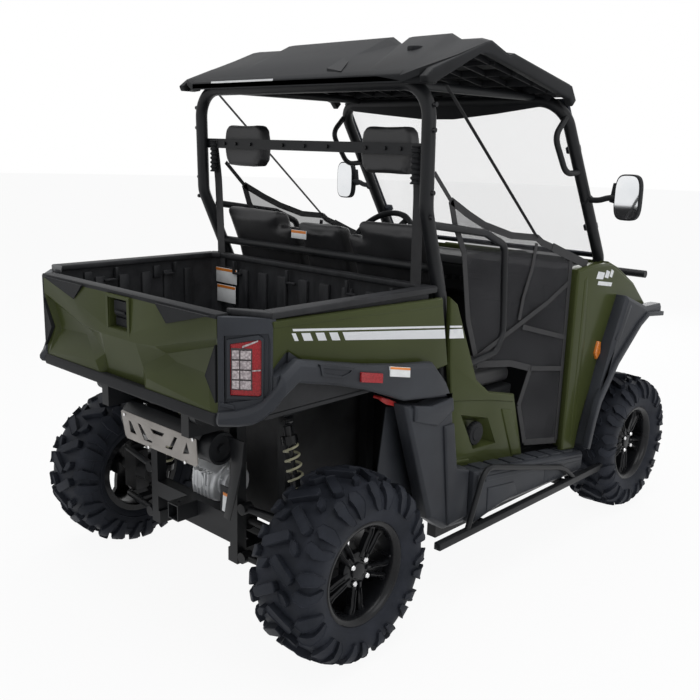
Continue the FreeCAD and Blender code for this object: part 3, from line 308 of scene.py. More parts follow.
TYRE_REPEATS = 12
TREAD = (
    (0, TREAD_RADIUS), (40, 291.5), (78, 288), (100, 281), (114, 270), (123, 255), (126, 238), (124, 215),
    (117, 193), (106, 174), (98, 166), (92, 160.5),
)
LUGS = (
    (((-22, -20), (-18, -36), (-6, -46), (74, -2), (76, 10), (66, 25), (56, 25)), 25),
    (((22, 56), (18, 40), (6, 30), (-74, 74), (-76, 86), (-66, 101), (-56, 101)), 25),
    (((28, 50), (52, 55), (68, 76), (62, 92), (42, 84)), 23),
    (((-28, -26), (-52, -21), (-68, 0), (-62, 16), (-42, 8)), 23),
    (((84, -10), (96, -30), (126, -36), (172, -20), (172, 0), (140, 8), (102, 12)), 21),
    (((81, 42), (92, 29), (126, 40), (172, 26), (172, 46), (150, 66), (112, 76), (87, 62)), 21),
    (((-84, 68), (-96, 48), (-126, 42), (-172, 58), (-172, 78), (-140, 86), (-102, 90)), 21),
    (((-81, 120), (-92, 107), (-126, 118), (-172, 104), (-172, 124), (-150, 144), (-112, 154), (-87, 140)),
     21),
)


# Distances from the tread's middle at which a lug bends with the carcass
LUG_BENDS = (-150, -132, -118, -104, -50, 0, 50, 104, 118, 132, 150)
# Past the shoulder a lug gets thinner over a stretch of the sidewall, by a share of its height
SHOULDER, SHOULDER_LONG, SHOULDER_THINNING = 105, 50, 0.42


def tread_point(across, along, height, wide):
    """Wrap a flat tread point, in millimetres, on the carcass."""
    left = abs(across)
    for (y_in, r_in), (y_out, r_out) in zip(TREAD, TREAD[1:]):
        run = math.hypot(y_out - y_in, r_out - r_in)
        if left <= run or r_out == TREAD[-1][1]:
            break
        left -= run
    share = left / run
    out_y, out_r = (r_in - r_out) / run, (y_out - y_in) / run
    y = (y_in + (y_out - y_in) * share) * wide + out_y * height
    reach = r_in + (r_out - r_in) * share + out_r * height
    reach = min(reach, TYRE_RADIUS - 0.1)
    spin = along / TREAD_RADIUS
    return Vector((reach * math.cos(spin), math.copysign(y, across), reach * math.sin(spin))) / 1000


def on_axle(mesh, along, across):
    """Carry a right hand wheel to its place, turned about for the left side."""
    if across > 0:
        swing(mesh, mesh.verts, math.pi, "Z")
    slide(mesh, mesh.verts, place(along, across, TYRE_RADIUS))


def tyre(name, wide, along, across, body):
    """One tyre: a hollow carcass, its lugs and the bead lines on its sidewalls."""
    narrow = wide / 130 * 1.005
    mesh = bmesh.new()
    half = [(y * narrow, r) for y, r in TREAD]
    half += [(88 * narrow, 159.3), (96 * narrow, 176), (112 * narrow, 214), (96 * narrow, 262), (0, 276)]
    spun(mesh, half + [(-y, r) for y, r in reversed(half) if y], 72)
    bmesh.ops.recalc_face_normals(mesh, faces=mesh.faces)
    pitch = math.tau * TREAD_RADIUS / TYRE_REPEATS
    for outline, height in LUGS:
        lug = bmesh.new()
        foot = lug.faces.new([lug.verts.new((t, s, -3)) for t, s in outline])
        top = bmesh.ops.extrude_face_region(lug, geom=[foot])["geom"]
        slide(lug, corners_in(top), (0, 0, height))
        cap = faces_in(top)
        bmesh.ops.inset_region(lug, faces=cap, thickness=2.2, depth=3)
        for cut in LUG_BENDS:
            bmesh.ops.bisect_plane(lug, geom=whole(lug), plane_co=(cut, 0, 0), plane_no=(1, 0, 0))
        bmesh.ops.recalc_face_normals(lug, faces=lug.faces)
        flat = bpy.data.meshes.new("lug")
        lug.to_mesh(flat)
        lug.free()
        for turn in range(TYRE_REPEATS):
            settled = set(mesh.verts)
            mesh.from_mesh(flat)
            for point in set(mesh.verts) - settled:
                t, s, h = point.co
                taper = 1 - SHOULDER_THINNING * max(0, min(1, (abs(t) - SHOULDER) / SHOULDER_LONG))
                point.co = tread_point(t, s + turn * pitch, h * (taper if h > 0 else 1), narrow)
        bpy.data.meshes.remove(flat)
    for reach, foot, crown, proud in ((200, 118, 122, 0.4), (246, 122, 128, 0)):
        bead = ((-3, foot), (-1, crown), (1, crown), (3, foot))
        spun(mesh, [(y * narrow + proud, reach - d) for d, y in bead], 72)
    on_axle(mesh, along, across)
    return set_in(mesh, name, rubber, body, name.replace("_treads", "_tyre"), sharp=28)


for end, side, wide, along, out in CORNERS:
    tyre(f"{end}_{side}_treads", wide, along, out, f"{end}_{side}_wheel")

# Rims: cast alloy wheels in gloss black, with five double spokes, a plain centre cap and four
# bright nuts. The barrel carries the tyre's beads and the hub sits on the axle.
gloss = Finish("rim_gloss_black", Coat_Weight=0.12, Coat_Roughness=0.06, Specular_IOR_Level=0.15)
smear = gloss.noise(14.0, 4.0)
gloss.mottle(smear, (0.3, (0.006, 0.006, 0.007)), (0.8, (0.014, 0.015, 0.017)), (0.2, 0.16))
nut_chrome = Finish("nut_chrome", Metallic=1.0)
bright = nut_chrome.noise(90.0)
nut_chrome.mottle(bright, (0.2, (0.6, 0.6, 0.6)), (0.8, (0.85, 0.85, 0.86)), (0.12, 0.15))


def raised(mesh, corners, push, slope, rise, kind):
    """Push a flat ring of corners along a vector, then draw in and lift the far face."""
    foot = mesh.faces.new([mesh.verts.new(corner) for corner in corners])
    top = bmesh.ops.extrude_face_region(mesh, geom=[foot])["geom"]
    slide(mesh, corners_in(top), push)
    cap = faces_in(top)
    if slope:
        bmesh.ops.inset_region(mesh, faces=cap, thickness=slope / 1000, depth=0)
        slide(mesh, list({v for f in cap for v in f.verts}), push.normalized() * rise / 1000)
    shell = set(cap)
    border = list(cap)
    while border:
        for edge in border.pop().edges:
            fresh = set(edge.link_faces) - shell
            shell |= fresh
            border += fresh
    bmesh.ops.recalc_face_normals(mesh, faces=list(shell))
    for face in shell:
        face.material_index = kind
    return shell


def bar(mesh, outline, low, high, slope=0.0, rise=0.0, kind=0):
    """Raise an outline in the wheel's plane along the axle, with a sloping top."""
    corners = [(u / 1000, low / 1000, v / 1000) for u, v in outline]
    raised(mesh, corners, Vector((0, (high - low) / 1000, 0)), slope, rise, kind)


# Half the barrel's width as a share of the tyre's size, and how far the face is set in
BARREL_SHARE, DISH = 0.824, 60


def rim(name, wide, along, across, body):
    """One rim: barrel, dished face, five double spokes, four nuts and the valve."""
    mesh = bmesh.new()
    edge = wide * BARREL_SHARE
    spun(mesh, [
        (-edge, 174.5), (-edge - 2, 171), (-edge - 1, 165), (-edge + 5, 157), (-edge + 14, 150),
        (-edge + 34, 147.5),
        (edge - 8, 147.5), (edge, 151), (edge, 174.5), (edge - 7, 175), (edge - 7, 158), (-edge + 7, 158),
        (-edge + 7, 175),
    ], 72)
    face = DISH - wide
    spun(
        mesh, [(face + 26, 0), (face + 26, 60), (face + 4, 60), (face + 1, 56), (face, 46), (face, 0)],
        48, closed=False,
    )
    spun(
        mesh, [(face + 3, 28), (face - 6, 28), (face - 9, 25), (face - 10.5, 14), (face - 11, 0)], 36,
        closed=False,
    )
    bmesh.ops.recalc_face_normals(mesh, faces=mesh.faces)
    for turn in range(5):
        before = set(mesh.verts)
        for way in (1, -1):
            blade = (
                (38, 3), (52, 4), (92, 9), (128, 9), (150, 12), (150, 40), (136, 36), (122, 25), (92, 24),
                (60, 20), (40, 20),
            )
            outline = [(u, v * way) for u, v in blade]
            bar(mesh, outline, face + 20, face - 1, 5, 6)
            slot = ((62, 9), (94, 13), (124, 14), (140, 19), (140, 25), (122, 19), (94, 18), (62, 14))
            bar(mesh, [(u, v * way) for u, v in slot], face, face - 8.5, 1.6, 2.5)
        web = ((50, -5), (50, 5), (148, 14), (148, -14))
        bar(mesh, web, face + 20, face + 12)
        angle = math.tau * turn / 5 + math.radians(18)
        swing(mesh, [v for v in mesh.verts if v not in before], angle, "Y")
    for turn in range(4):
        before = set(mesh.verts)
        angles = [math.tau * k / 6 for k in range(6)]
        hexagon = [(42 + 10 * math.cos(angle), 10 * math.sin(angle)) for angle in angles]
        bar(mesh, hexagon, face + 2, face - 15, 2.5, 3, kind=1)
        swing(mesh, [v for v in mesh.verts if v not in before], math.tau * (turn + 0.4) / 4, "Y")
    valve = bmesh.ops.create_cone(
        mesh, cap_ends=True, segments=10, radius1=0.005, radius2=0.0035, depth=0.036,
    )["verts"]
    swing(mesh, valve, math.pi / 2, "X")
    slide(mesh, valve, (0.138, (face - 2) / 1000, 0.01))
    on_axle(mesh, along, across)
    return set_in(mesh, name, gloss, body, name.replace("_alloy", "_rim"), finishes=(nut_chrome,))


for end, side, wide, along, out in CORNERS:
    rim(f"{end}_{side}_alloy", wide, along, out, f"{end}_{side}_wheel")

# Frame: square steel tube welded into rails, towers and cross members, powder coated satin black.
# The cage, bumper and hip bars are round tube with the same coat.
coat = Finish("black_powder_coat", Specular_IOR_Level=0.22)
drift = coat.noise(5.0, 4.0)
speck = coat.noise(650.0, 2.0)
coat.mottle(drift, (0.3, (0.006, 0.0065, 0.0075)), (0.75, (0.016, 0.017, 0.019)), (0.36, 0.2))
coat.relief(speck, 0.12, 0.0004)
for node in (
    "chassis_frame", "rear_cage", "front_hoop", "hip_bars", "front_bumper", "suspension_arms",
    "bed_subframe", "muffler", "steering_column",
):
    painted(node, coat)

# Running gear castings: knuckles, axle cases and the engine are cast aluminium with a dull, sandy
# skin. The axle cases have machined flanges, ribs and bolts.
casting = Finish("cast_aluminium", Metallic=0.55)
sand = casting.noise(260.0, 3.0, 0.6)
stain = casting.noise(11.0, 4.0)
casting.mottle(stain, (0.3, (0.44, 0.45, 0.46)), (0.7, (0.72, 0.73, 0.74)))
casting.plug(Roughness=0.42 + sand * 0.25)
casting.relief(sand, 0.35, 0.0012)
dull = Finish("dull_engine_casting", Metallic=0.4)
oil = dull.noise(8.0, 4.0)
dull.mottle(oil, (0.3, (0.012, 0.012, 0.013)), (0.75, (0.05, 0.05, 0.052)), (0.5, 0.25))
dull.relief(dull.noise(180.0), 0.3, 0.001)
for node in (
    "rear_knuckles", "front_knuckle_right", "front_knuckle_left", "engine_block", "drive_shafts",
):
    painted(node, dull)


def on_axis(outline, axis, low, high):
    """Corners of an outline that stands at low on an axis, and the vector from there to high."""
    spot = "xyz".index(axis)
    push = Vector((0, 0, 0))
    push[spot] = (high - low) / 1000
    return [place(*point[:spot], low, *point[spot:]) for point in outline], push


def prism(mesh, outline, axis, low, high, slope=0.0, rise=0.0, soft=0.0, kind=0, segments=2):
    """Raise a flat outline along an axis from low to high, in millimetres, and round its edges.

    The outline's points are the other two coordinates in x, y, z order. The top face can be drawn
    in by slope and lifted by rise.
    """
    corners, push = on_axis(outline, axis, low, high)
    shell = raised(mesh, corners, push, slope, rise, kind)
    if soft:
        edges = {
            edge for face in shell for edge in face.edges if edge.calc_face_angle(0) > math.radians(20)
        }
        bevelled(mesh, list(edges), soft / 1000, segments)


def block(mesh, first, second, axis, low, high, **looks):
    """A prism on the rectangle between two spans."""
    (a, c), (b, d) = first, second
    prism(mesh, ((a, b), (c, b), (c, d), (a, d)), axis, low, high, **looks)


def both_sides(mesh):
    """Add the mirror image across the vehicle's middle."""
    twin = bmesh.ops.duplicate(mesh, geom=whole(mesh))["geom"]
    bmesh.ops.scale(mesh, vec=(1, -1, 1), verts=corners_in(twin))
    bmesh.ops.reverse_faces(mesh, faces=faces_in(twin))


def round_bar(mesh, axis, centre, low, high, radius, segments=24, kind=0):
    """A round bar along an axis between two distances, in millimetres."""
    made = bmesh.ops.create_cone(
        mesh, cap_ends=True, segments=segments, radius1=radius / 1000,
        radius2=radius / 1000, depth=abs(high - low) / 1000,
    )["verts"]
    if axis != "z":
        swing(mesh, made, *((math.pi / 2, "Y") if axis == "x" else (-math.pi / 2, "X")))
    middle = list(centre)
    middle.insert("xyz".index(axis), (low + high) / 2)
    slide(mesh, made, place(*middle))
    for face in {f for v in made for f in v.link_faces}:
        face.material_index = kind
    return made


for name, middle, way, low, high in (
    ("rear_axle_case", 0, -1, 372, 509), ("front_axle_case", FRONT_AXLE, 1, 300, 419),
):
    mesh = bmesh.new()
    mid = (low + high) / 2
    body = (
        (-84, low + 14), (-60, low), (60, low), (84, low + 20), (88, mid), (66, high - 15), (20, high),
        (-30, high - 3), (-70, high - 27), (-88, mid - 8),
    )
    prism(mesh, [(middle + x, z) for x, z in body], "y", -64, 64, soft=9, segments=3)
    foot = ((-80, low + 30), (-70, 290), (-50, 270.5), (50, 270.5), (70, 290), (80, low + 30))
    prism(mesh, [(middle + x, z) for x, z in foot], "y", -56, 56, soft=8, segments=3, kind=1)
    for side in (-1, 1):
        round_bar(mesh, "y", (middle, TYRE_RADIUS), side * 54, side * 99, 46, 32, kind=1)
        round_bar(mesh, "y", (middle, mid), side * 60, side * 96, 56, 32)
        round_bar(mesh, "y", (middle, mid), side * 62, side * 74, 66, 32)
        for turn in range(8):
            angle = math.tau * (turn + 0.5) / 8
            spot = (middle + 59 * math.cos(angle), mid + 59 * math.sin(angle))
            round_bar(mesh, "y", spot, side * 70, side * 82, 6, 6)
    for level in (-42, -21, 0, 21, 42):
        block(mesh, (middle - 92, middle + 90), (low + 12, high - 27), "y", level - 3, level + 3, soft=2)
    round_bar(mesh, "x", (18, mid + 6), middle + way * 84 - 6, middle + way * 84 + 6, 34, 28)
    round_bar(mesh, "x", (-34, mid - 16), middle + way * 84 - 6, middle + way * 84 + 8, 12, 6)
    round_bar(mesh, "z", (middle + 20, 20), high - 9, high + 0.5, 14, 18)
    set_in(mesh, name, casting, "chassis", "gearcases", finishes=(dull,))

# Load bed: a one piece moulded tub in ribbed black polymer, bolted to the subframe. Its rim is
# rolled out over the side panels, and moulded hooks for tie-downs stand on the inner walls.
moulded = Finish("black_polymer", Specular_IOR_Level=0.12)
flow = moulded.noise(3.5, 5.0, 0.6)
pebble = moulded.cells(420.0)
moulded.mottle(flow, (0.3, (0.010, 0.0105, 0.0115)), (0.75, (0.024, 0.025, 0.027)), (0.46, 0.24))
moulded.relief(pebble, 0.22, 0.0007)
scuffed = Finish("scuffed_liner", Specular_IOR_Level=0.22)
x, y, z = scuffed.axes()
stroke = scuffed.noise(30.0, 4.0, 0.7, scuffed.node("ShaderNodeCombineXYZ", {}, x * 0.25, y, z * 0.25))
scuffed.mottle(stroke, (0.35, (0.012, 0.0125, 0.014)), (0.8, (0.036, 0.037, 0.04)), (0.40, 0.3))
scuffed.relief(scuffed.noise(300.0), 0.2, 0.0006)


def mirrored(half, spot):
    """A whole outline from one half, with the coordinate at spot turned over for the other."""
    return [
        *half,
        *(tuple(-v if at == spot else v for at, v in enumerate(point)) for point in reversed(half)),
    ]


def framed(mesh, rim, hollow, axis, low, high, closed=True, **looks):
    """A flat frame between two outlines with the same number of corners."""
    for spot in range(0 if closed else 1, len(rim)):
        prism(mesh, (rim[spot - 1], rim[spot], hollow[spot], hollow[spot - 1]), axis, low, high, **looks)


mesh = bmesh.new()
OUTSIDE = mirrored(((-350, -500), (-300, -599), (430, -599), (463, -560)), 1)
INSIDE = mirrored(((-345, -478), (-294, -578), (413, -578), (443, -546)), 1)
prism(mesh, OUTSIDE, "z", 862.5, 881.5, soft=3)
framed(mesh, OUTSIDE, INSIDE, "z", 876, 1168, closed=False)
LIP = mirrored(((-352, -500), (-301, -621), (450, -621), (470, -598)), 1)
MOUTH = mirrored(((-346, -472), (-287, -566), (404, -566), (431, -535)), 1)
framed(mesh, LIP, MOUTH, "z", 1163, 1183, closed=False, soft=4, segments=3)
for low, high in ((-580, -566), (566, 580)):
    for along in (-232, -128, -24, 80, 184, 288):
        block(mesh, (along - 22, along + 22), (low, high), "z", 884, 1128, soft=6)
    for along in (-180, 132):
        block(mesh, (along - 17, along + 17), (low, high), "z", 1098, 1150, soft=5)
for across in (-450, -330, -210, -90, 30, 150, 270, 390, 480):
    block(mesh, (430, 446), (across - 26, across + 26), "z", 884, 1128, soft=6)
    block(mesh, (-330, 415), (across - 14, across + 14), "z", 879, 888, soft=3)
set_in(mesh, "bed_liner", scuffed, "cargo_bed", "bed_tub")

mesh = bmesh.new()
for across in (-560, 560):
    for along in (-65, 210):
        prism(
            mesh, ((along - 5, 1112), (along + 7, 1112), (along + 9, 1158), (along - 3, 1158)), "y",
            across - 7, across + 7, soft=2,
        )
        block(mesh, (along - 52, along + 6), (1108, 1117), "y", across - 7, across + 7, soft=2)
for across in (-438, -218, 109, 438):
    block(mesh, (across - 6, across + 6), (1108, 1158), "x", 418, 432, soft=2)
    block(mesh, (across - 46, across + 6), (1104, 1113), "x", 418, 432, soft=2)
for across in (-482, 482):
    block(mesh, (-352, -330), (across - 7, across + 7), "z", 1085, 1120, soft=3)
    round_bar(mesh, "y", (-341, 1102), across - 10, across + 10, 5, 12)
set_in(mesh, "bed_tie_hooks", scuffed, "cargo_bed")

# Blank labels: vinyl cards on the tub's wall, on the flare and on the frame, each a white field with
# a colour band along its upper edge.
card = Finish("blank_label", Roughness=0.35)
card.mottle(card.noise(40.0), (0.3, (0.84, 0.85, 0.84)), (0.7, (0.91, 0.92, 0.91)))
card.plug(Roughness=0.3 + card.noise(500.0, 2.0) * 0.15)
amber_card = Finish("label_band", Roughness=0.35)
tone = amber_card.noise(60.0)
amber_card.mottle(tone, (0.3, (0.80, 0.22, 0.02)), (0.7, (0.86, 0.28, 0.04)))
mesh = bmesh.new()
for low, high, level, tall in ((425, 566, 1058, 64), (434, 557, 975, 74)):
    block(mesh, (low, high), (level, level + tall), "x", 427.6, 429.4, soft=0.5)
    block(mesh, (low + 2, high - 2), (level + tall - 13, level + tall - 2), "x", 426.8, 428, kind=1)
set_in(mesh, "bed_labels", card, "cargo_bed", finishes=(amber_card,))

# Bed sides: gloss olive panels moulded in colour under clear lacquer. A raised upper edge and a
# sharp lower crease run their length, and a white double stripe is printed along them.
olive = Finish("olive_gloss", Coat_Weight=0.10, Coat_Roughness=0.06, Specular_IOR_Level=0.06)
cloud = olive.noise(2.2, 4.0)
OLIVE_TONES = ((0.3, (0.044, 0.053, 0.017)), (0.75, (0.060, 0.072, 0.024)))
olive.mottle(cloud, *OLIVE_TONES, (0.24, 0.14))
olive.relief(olive.noise(160.0, 2.0), 0.05, 0.0004)
stripe = Finish("olive_with_stripes", Coat_Weight=0.10, Coat_Roughness=0.06, Specular_IOR_Level=0.06)
x, y, z = stripe.axes()
STRIPE_START, STRIPE_UP, STRIPE_FALL = REAR_AXLE - 0.252, 1.129, -0.1184
reach = x - STRIPE_START
line = z - (reach * STRIPE_FALL + STRIPE_UP)
thin = (line > -0.006) * (line < 0.001)
wide = (line > -0.034 - reach * 0.014) * (line < -0.012)
sheared = reach + line * 0.55
DASHES_END = 0.232
dash = stripe.math("FRACT", sheared / 0.058)
broken = (dash < 0.62) * (sheared < DASHES_END) * (sheared > 0.02)
filled = stripe.math("MAXIMUM", broken, sheared > DASHES_END)
printed = stripe.math("MAXIMUM", thin * (sheared > 0.03), wide * filled) * (sheared < 0.80)
cloud = stripe.noise(2.2, 4.0)
base = stripe.ramp(cloud, *OLIVE_TONES)
stripe.plug(Base_Color=stripe.blend(printed, base, (0.78, 0.79, 0.80)), Roughness=0.24 + cloud * 0.14)
stripe.relief(stripe.noise(160.0, 2.0), 0.05, 0.0004)
mesh = bmesh.new()
panel = ((-300, 1160), (488, 1141), (537, 893), (420, 880), (-150, 1000), (-240, 1060), (-300, 1010))
prism(mesh, panel, "y", -600.5, -614, slope=9, rise=6, soft=1.5)
fold = ((-296, 1156), (484, 1138), (488, 1112), (-296, 1136))
prism(mesh, fold, "y", -612, -620, slope=5, rise=1.5, soft=1.2)
both_sides(mesh)
set_in(mesh, "bed_sides", stripe, "cargo_bed", "bed_side_panels")

# Tailgate: a pressed panel in the same olive lacquer, ribbed by sharp folds that run from the
# corners to a raised hexagon round the latch. Black trim fills its triangles and side wedges.
GATE_FACE = -400
GATE_POINTS = {
    "top": (0, 1167, 3), "crown": (205, 1167, 3), "elbow": (268, 1107, 10), "chin": (100, 1022, 12),
    "middle": (0, 1022, 12), "latch_top": (0, 1150, 5), "latch_high": (54, 1150, 5),
    "latch_low": (54, 1049, 9), "latch_foot": (0, 1049, 9), "wing": (480, 1167, 2),
    "corner": (496, 1167, 0), "edge_high": (496, 1104, 0), "crease": (205, 1030, 13),
    "hollow_in": (218, 1004, -24), "hollow_out": (466, 1070, -22), "hollow_tip": (430, 978, -27),
    "hollow_foot": (262, 984, -29), "belly": (110, 948, -6), "belly_middle": (0, 944, -6),
    "ledge_in": (150, 918, 9), "ledge_out": (468, 888, 6), "foot_out": (496, 866, 1),
    "foot_low": (496, 860, 0), "foot_in": (128, 860, 0), "pan": (120, 860, -20),
    "pan_middle": (0, 860, -20), "wedge_tip": (440, 985, -10), "wedge_high": (496, 1090, -3),
    "wedge_low": (496, 905, -3),
}
GATE_FACETS = (
    "top crown elbow chin middle latch_foot latch_low latch_high latch_top",
    "latch_top latch_high latch_low latch_foot", "crown wing elbow", "elbow wing corner edge_high crease",
    "elbow crease chin", "crease edge_high hollow_out hollow_in", "edge_high wedge_high hollow_out",
    "hollow_in hollow_out hollow_tip hollow_foot", "hollow_out wedge_high wedge_tip hollow_tip",
    "wedge_high wedge_low wedge_tip", "chin crease hollow_in belly", "middle chin belly belly_middle",
    "belly hollow_in hollow_foot ledge_in", "hollow_foot hollow_tip ledge_out ledge_in",
    "hollow_tip wedge_tip ledge_out", "wedge_tip wedge_low foot_out ledge_out",
    "ledge_in ledge_out foot_out foot_low foot_in", "belly ledge_in foot_in pan",
    "belly_middle belly pan pan_middle",
)
mesh = bmesh.new()
points = {
    name: mesh.verts.new(place(GATE_FACE - proud, across, up))
    for name, (across, up, proud) in GATE_POINTS.items()
}
for words in GATE_FACETS:
    mesh.faces.new([points[word] for word in words.split()])
both_sides(mesh)
bmesh.ops.remove_doubles(mesh, verts=mesh.verts, dist=0.0001)
LATCH = place(-403, 0, 1100)
halves = sorted(mesh.faces, key=lambda f: (f.calc_center_median() - LATCH).length)[:2]
bmesh.ops.dissolve_edges(mesh, edges=[e for e in halves[0].edges if e in halves[1].edges[:]])
latch_face = min(mesh.faces, key=lambda f: (f.calc_center_median() - LATCH).length)
bmesh.ops.recalc_face_normals(mesh, faces=mesh.faces)
if latch_face.normal.x > 0:
    bmesh.ops.reverse_faces(mesh, faces=mesh.faces)
bmesh.ops.inset_region(mesh, faces=[latch_face], thickness=0.001, depth=0)
deep = bmesh.ops.extrude_face_region(mesh, geom=[latch_face])["geom"]
slide(mesh, corners_in(deep), (0.026, 0, 0))
bmesh.ops.delete(mesh, geom=[latch_face], context="FACES")
folds = [e for e in mesh.edges if e.is_manifold and e.calc_face_angle(0) > math.radians(6)]
bevelled(mesh, folds, 0.0022, 3)
bmesh.ops.solidify(mesh, geom=mesh.faces[:], thickness=0.004)
latch_rim = ((-68, 1036), (68, 1036), (68, 1160), (-68, 1160))
latch_hole = ((-55, 1048), (55, 1048), (55, 1150), (-55, 1150))
framed(mesh, latch_rim, latch_hole, "x", GATE_FACE, GATE_FACE - 12)
bmesh.ops.recalc_face_normals(mesh, faces=mesh.faces)
set_in(mesh, "tailgate_skin", olive, "tailgate", "tailgate_panel", sharp=50)

mesh = bmesh.new()
block(mesh, (-494, 494), (864, 1162), "x", -366, -358.5, soft=2)
block(mesh, (-497, 497), (1158, 1172.5), "x", -404, -358.5, soft=3)
block(mesh, (-496, 496), (842, 880), "x", -384, -409, slope=8, rise=3, soft=3)
for side in (-1, 1):
    prism(
        mesh, [(side * y, z) for y, z in ((214, 1165), (474, 1165), (270, 1112))], "x", -392, -414,
        slope=2, rise=-1, soft=1,
    )
    prism(
        mesh, [(side * y, z) for y, z in ((494, 1084), (494, 912), (446, 985))], "x", -380, -406, slope=3,
        rise=-1, soft=1.5,
    )
    for across in (302, 330):
        round_bar(mesh, "y", (-356, 847), side * across - 8, side * across + 8, 11, 24)
    round_bar(mesh, "y", (-356, 847), side * 317 - 26, side * 317 + 26, 10.9, 24)
set_in(mesh, "tailgate_trim", moulded, "tailgate")

# Latch: a black moulded plate in the gate's recess, with a ribbed pull handle on it and a screw at
# each of its corners. A hand reaches under the handle's lip to pull it.
mesh = bmesh.new()
block(mesh, (-52, 52), (1051, 1148), "x", -379, -383, soft=1)
prism(
    mesh, ((-36, 1092), (36, 1092), (40, 1100), (40, 1140), (-40, 1140), (-40, 1100)), "x", -382, -398,
    slope=5, rise=-3, soft=2,
)
block(mesh, (-30, 30), (1100, 1108), "x", -396, -403, soft=1.6)
block(mesh, (-44, 44), (1058, 1082), "x", -382, -390, slope=4, rise=-2, soft=1.5)
for across in (-41, 41):
    for level in (1060, 1139):
        round_bar(mesh, "x", (across, level), -387, -382, 4, 8)
set_in(mesh, "tailgate_handle", moulded, "tailgate", "tailgate_latch")

# Corners and flares: satin slate polymer, moulded in colour with a fine grain. The corner carries
# the tail lamp in a recess, and the flare is a stepped arch that is screwed under the bed's side.
slate = Finish("slate_polymer", Specular_IOR_Level=0.16)
haze = slate.noise(4.0, 4.0)
grain = slate.noise(520.0, 2.0, 0.55)
slate.mottle(haze, (0.3, (0.026, 0.028, 0.033)), (0.75, (0.048, 0.052, 0.060)), (0.34, 0.2))
slate.relief(grain, 0.14, 0.0005)
CORNER_TURN = math.radians(-50.5)


def lofted(mesh, rings, closed=False):
    """Skin between rings of corners, closed over both ends or joined into a loop."""
    count = len(rings[0])
    faces = [
        mesh.faces.new((near[s], far[s], far[s - 1], near[s - 1]))
        for near, far in zip(rings, rings[1:] + rings[:1] if closed else rings[1:]) for s in range(count)
    ]
    if not closed:
        faces += [mesh.faces.new(rings[0]), mesh.faces.new(rings[-1][::-1])]
    bmesh.ops.recalc_face_normals(mesh, faces=faces)
    return faces


def corner_piece(name, body, make, finish, *nodes, finishes=()):
    """Make a piece flat, as seen from outside, then set it on both rear corners of the bed."""
    mesh = bmesh.new()
    make(mesh)
    slide(mesh, mesh.verts, (-REAR_AXLE, 0, 0))
    swing(mesh, mesh.verts, CORNER_TURN, "Z")
    slide(mesh, mesh.verts, place(-402, -502, 0))
    both_sides(mesh)
    return set_in(mesh, name, finish, body, *nodes, finishes=finishes)


def corner_shell(mesh):
    rim_line = ((0, 1166), (150, 1166), (158, 1140), (158, 930), (128, 886), (0, 868))
    well = ((18, 1112), (146, 1124), (152, 1100), (152, 962), (138, 934), (18, 912))
    framed(mesh, rim_line, well, "y", 22, 0)
    prism(mesh, [(u * 0.98 + 2, v) for u, v in well], "y", 22, 8)
    bezel = ((26, 1100), (118, 1118), (132, 1108), (132, 934), (122, 927), (26, 927))
    opening = ((35, 1089), (122, 1105), (126, 1100), (126, 941), (119, 936), (35, 936))
    framed(mesh, bezel, opening, "y", 10, 2)
    prism(mesh, ((4, 905), (48, 896), (48, 908), (4, 917)), "y", 3, -3, slope=2, rise=1, soft=1)


corner_piece("bed_corners", "cargo_bed", corner_shell, slate)

# Each station of the flare: where its outer face stands in plan, its lower and its upper edge
FLARE = (
    (-409, -500, 846, 886), (-418, -522, 846, 889), (-383, -564, 847, 897), (-356, -597, 855, 911),
    (-337, -620, 871, 929),
    (-312, -650, 908, 975), (-288, -666, 938, 1006), (-234, -670, 974, 1045), (-78, -670, 938, 1011),
    (63, -670, 898, 981),
    (247, -670, 826, 952), (400, -668, 806, 934), (470, -664, 796, 866), (520, -654, 786, 800),
)
FLARE_EDGE = ((0, 0, 0), (26, 0, 2), (34, 0, 12), (34, 1, -18), (18, 1, -2), (0, 1, 0))
mesh = bmesh.new()
rings = []
for spot, (x, y, low, high) in enumerate(FLARE):
    inward = Vector((0.772, 0.636, 0)) if spot < 6 else Vector((0, 1, 0))
    ring = []
    for reach, top, shift in FLARE_EDGE:
        point = Vector((x, y, (high if top else low) + shift)) + inward * (34 - reach)
        ring.append(mesh.verts.new(place(*point)))
    rings.append(ring)
lofted(mesh, rings)
edges = [e for e in mesh.edges if e.calc_face_angle(0) > math.radians(20)]
bevelled(mesh, edges, 0.004, 2)
POCKET = ((-160, 1020), (-10, 986), (-24, 972), (-62, 962), (-150, 984))
HOLLOW = ((-146, 1008), (-24, 980), (-32, 974), (-64, 968), (-142, 990))
framed(mesh, POCKET, HOLLOW, "y", -664, -674)
outline = (
    (-300, 936), (-205, 975), (-78, 940), (63, 900), (247, 830), (400, 812), (400, 860), (-230, 1030),
    (-300, 1000),
)
prism(mesh, outline, "y", -600.5, -640)
side_rim = ((-304, 1165), (-288, 1165), (-163, 1022), (-205, 990), (-304, 960))
side_well = ((-300, 1125), (-290, 1124), (-234, 1060), (-238, 1006), (-300, 990))
framed(mesh, side_rim, side_well, "y", -600.5, -617)
prism(mesh, side_well, "y", -600.5, -609)
both_sides(mesh)
set_in(mesh, "bed_arches", slate, "cargo_bed", "bed_flares")

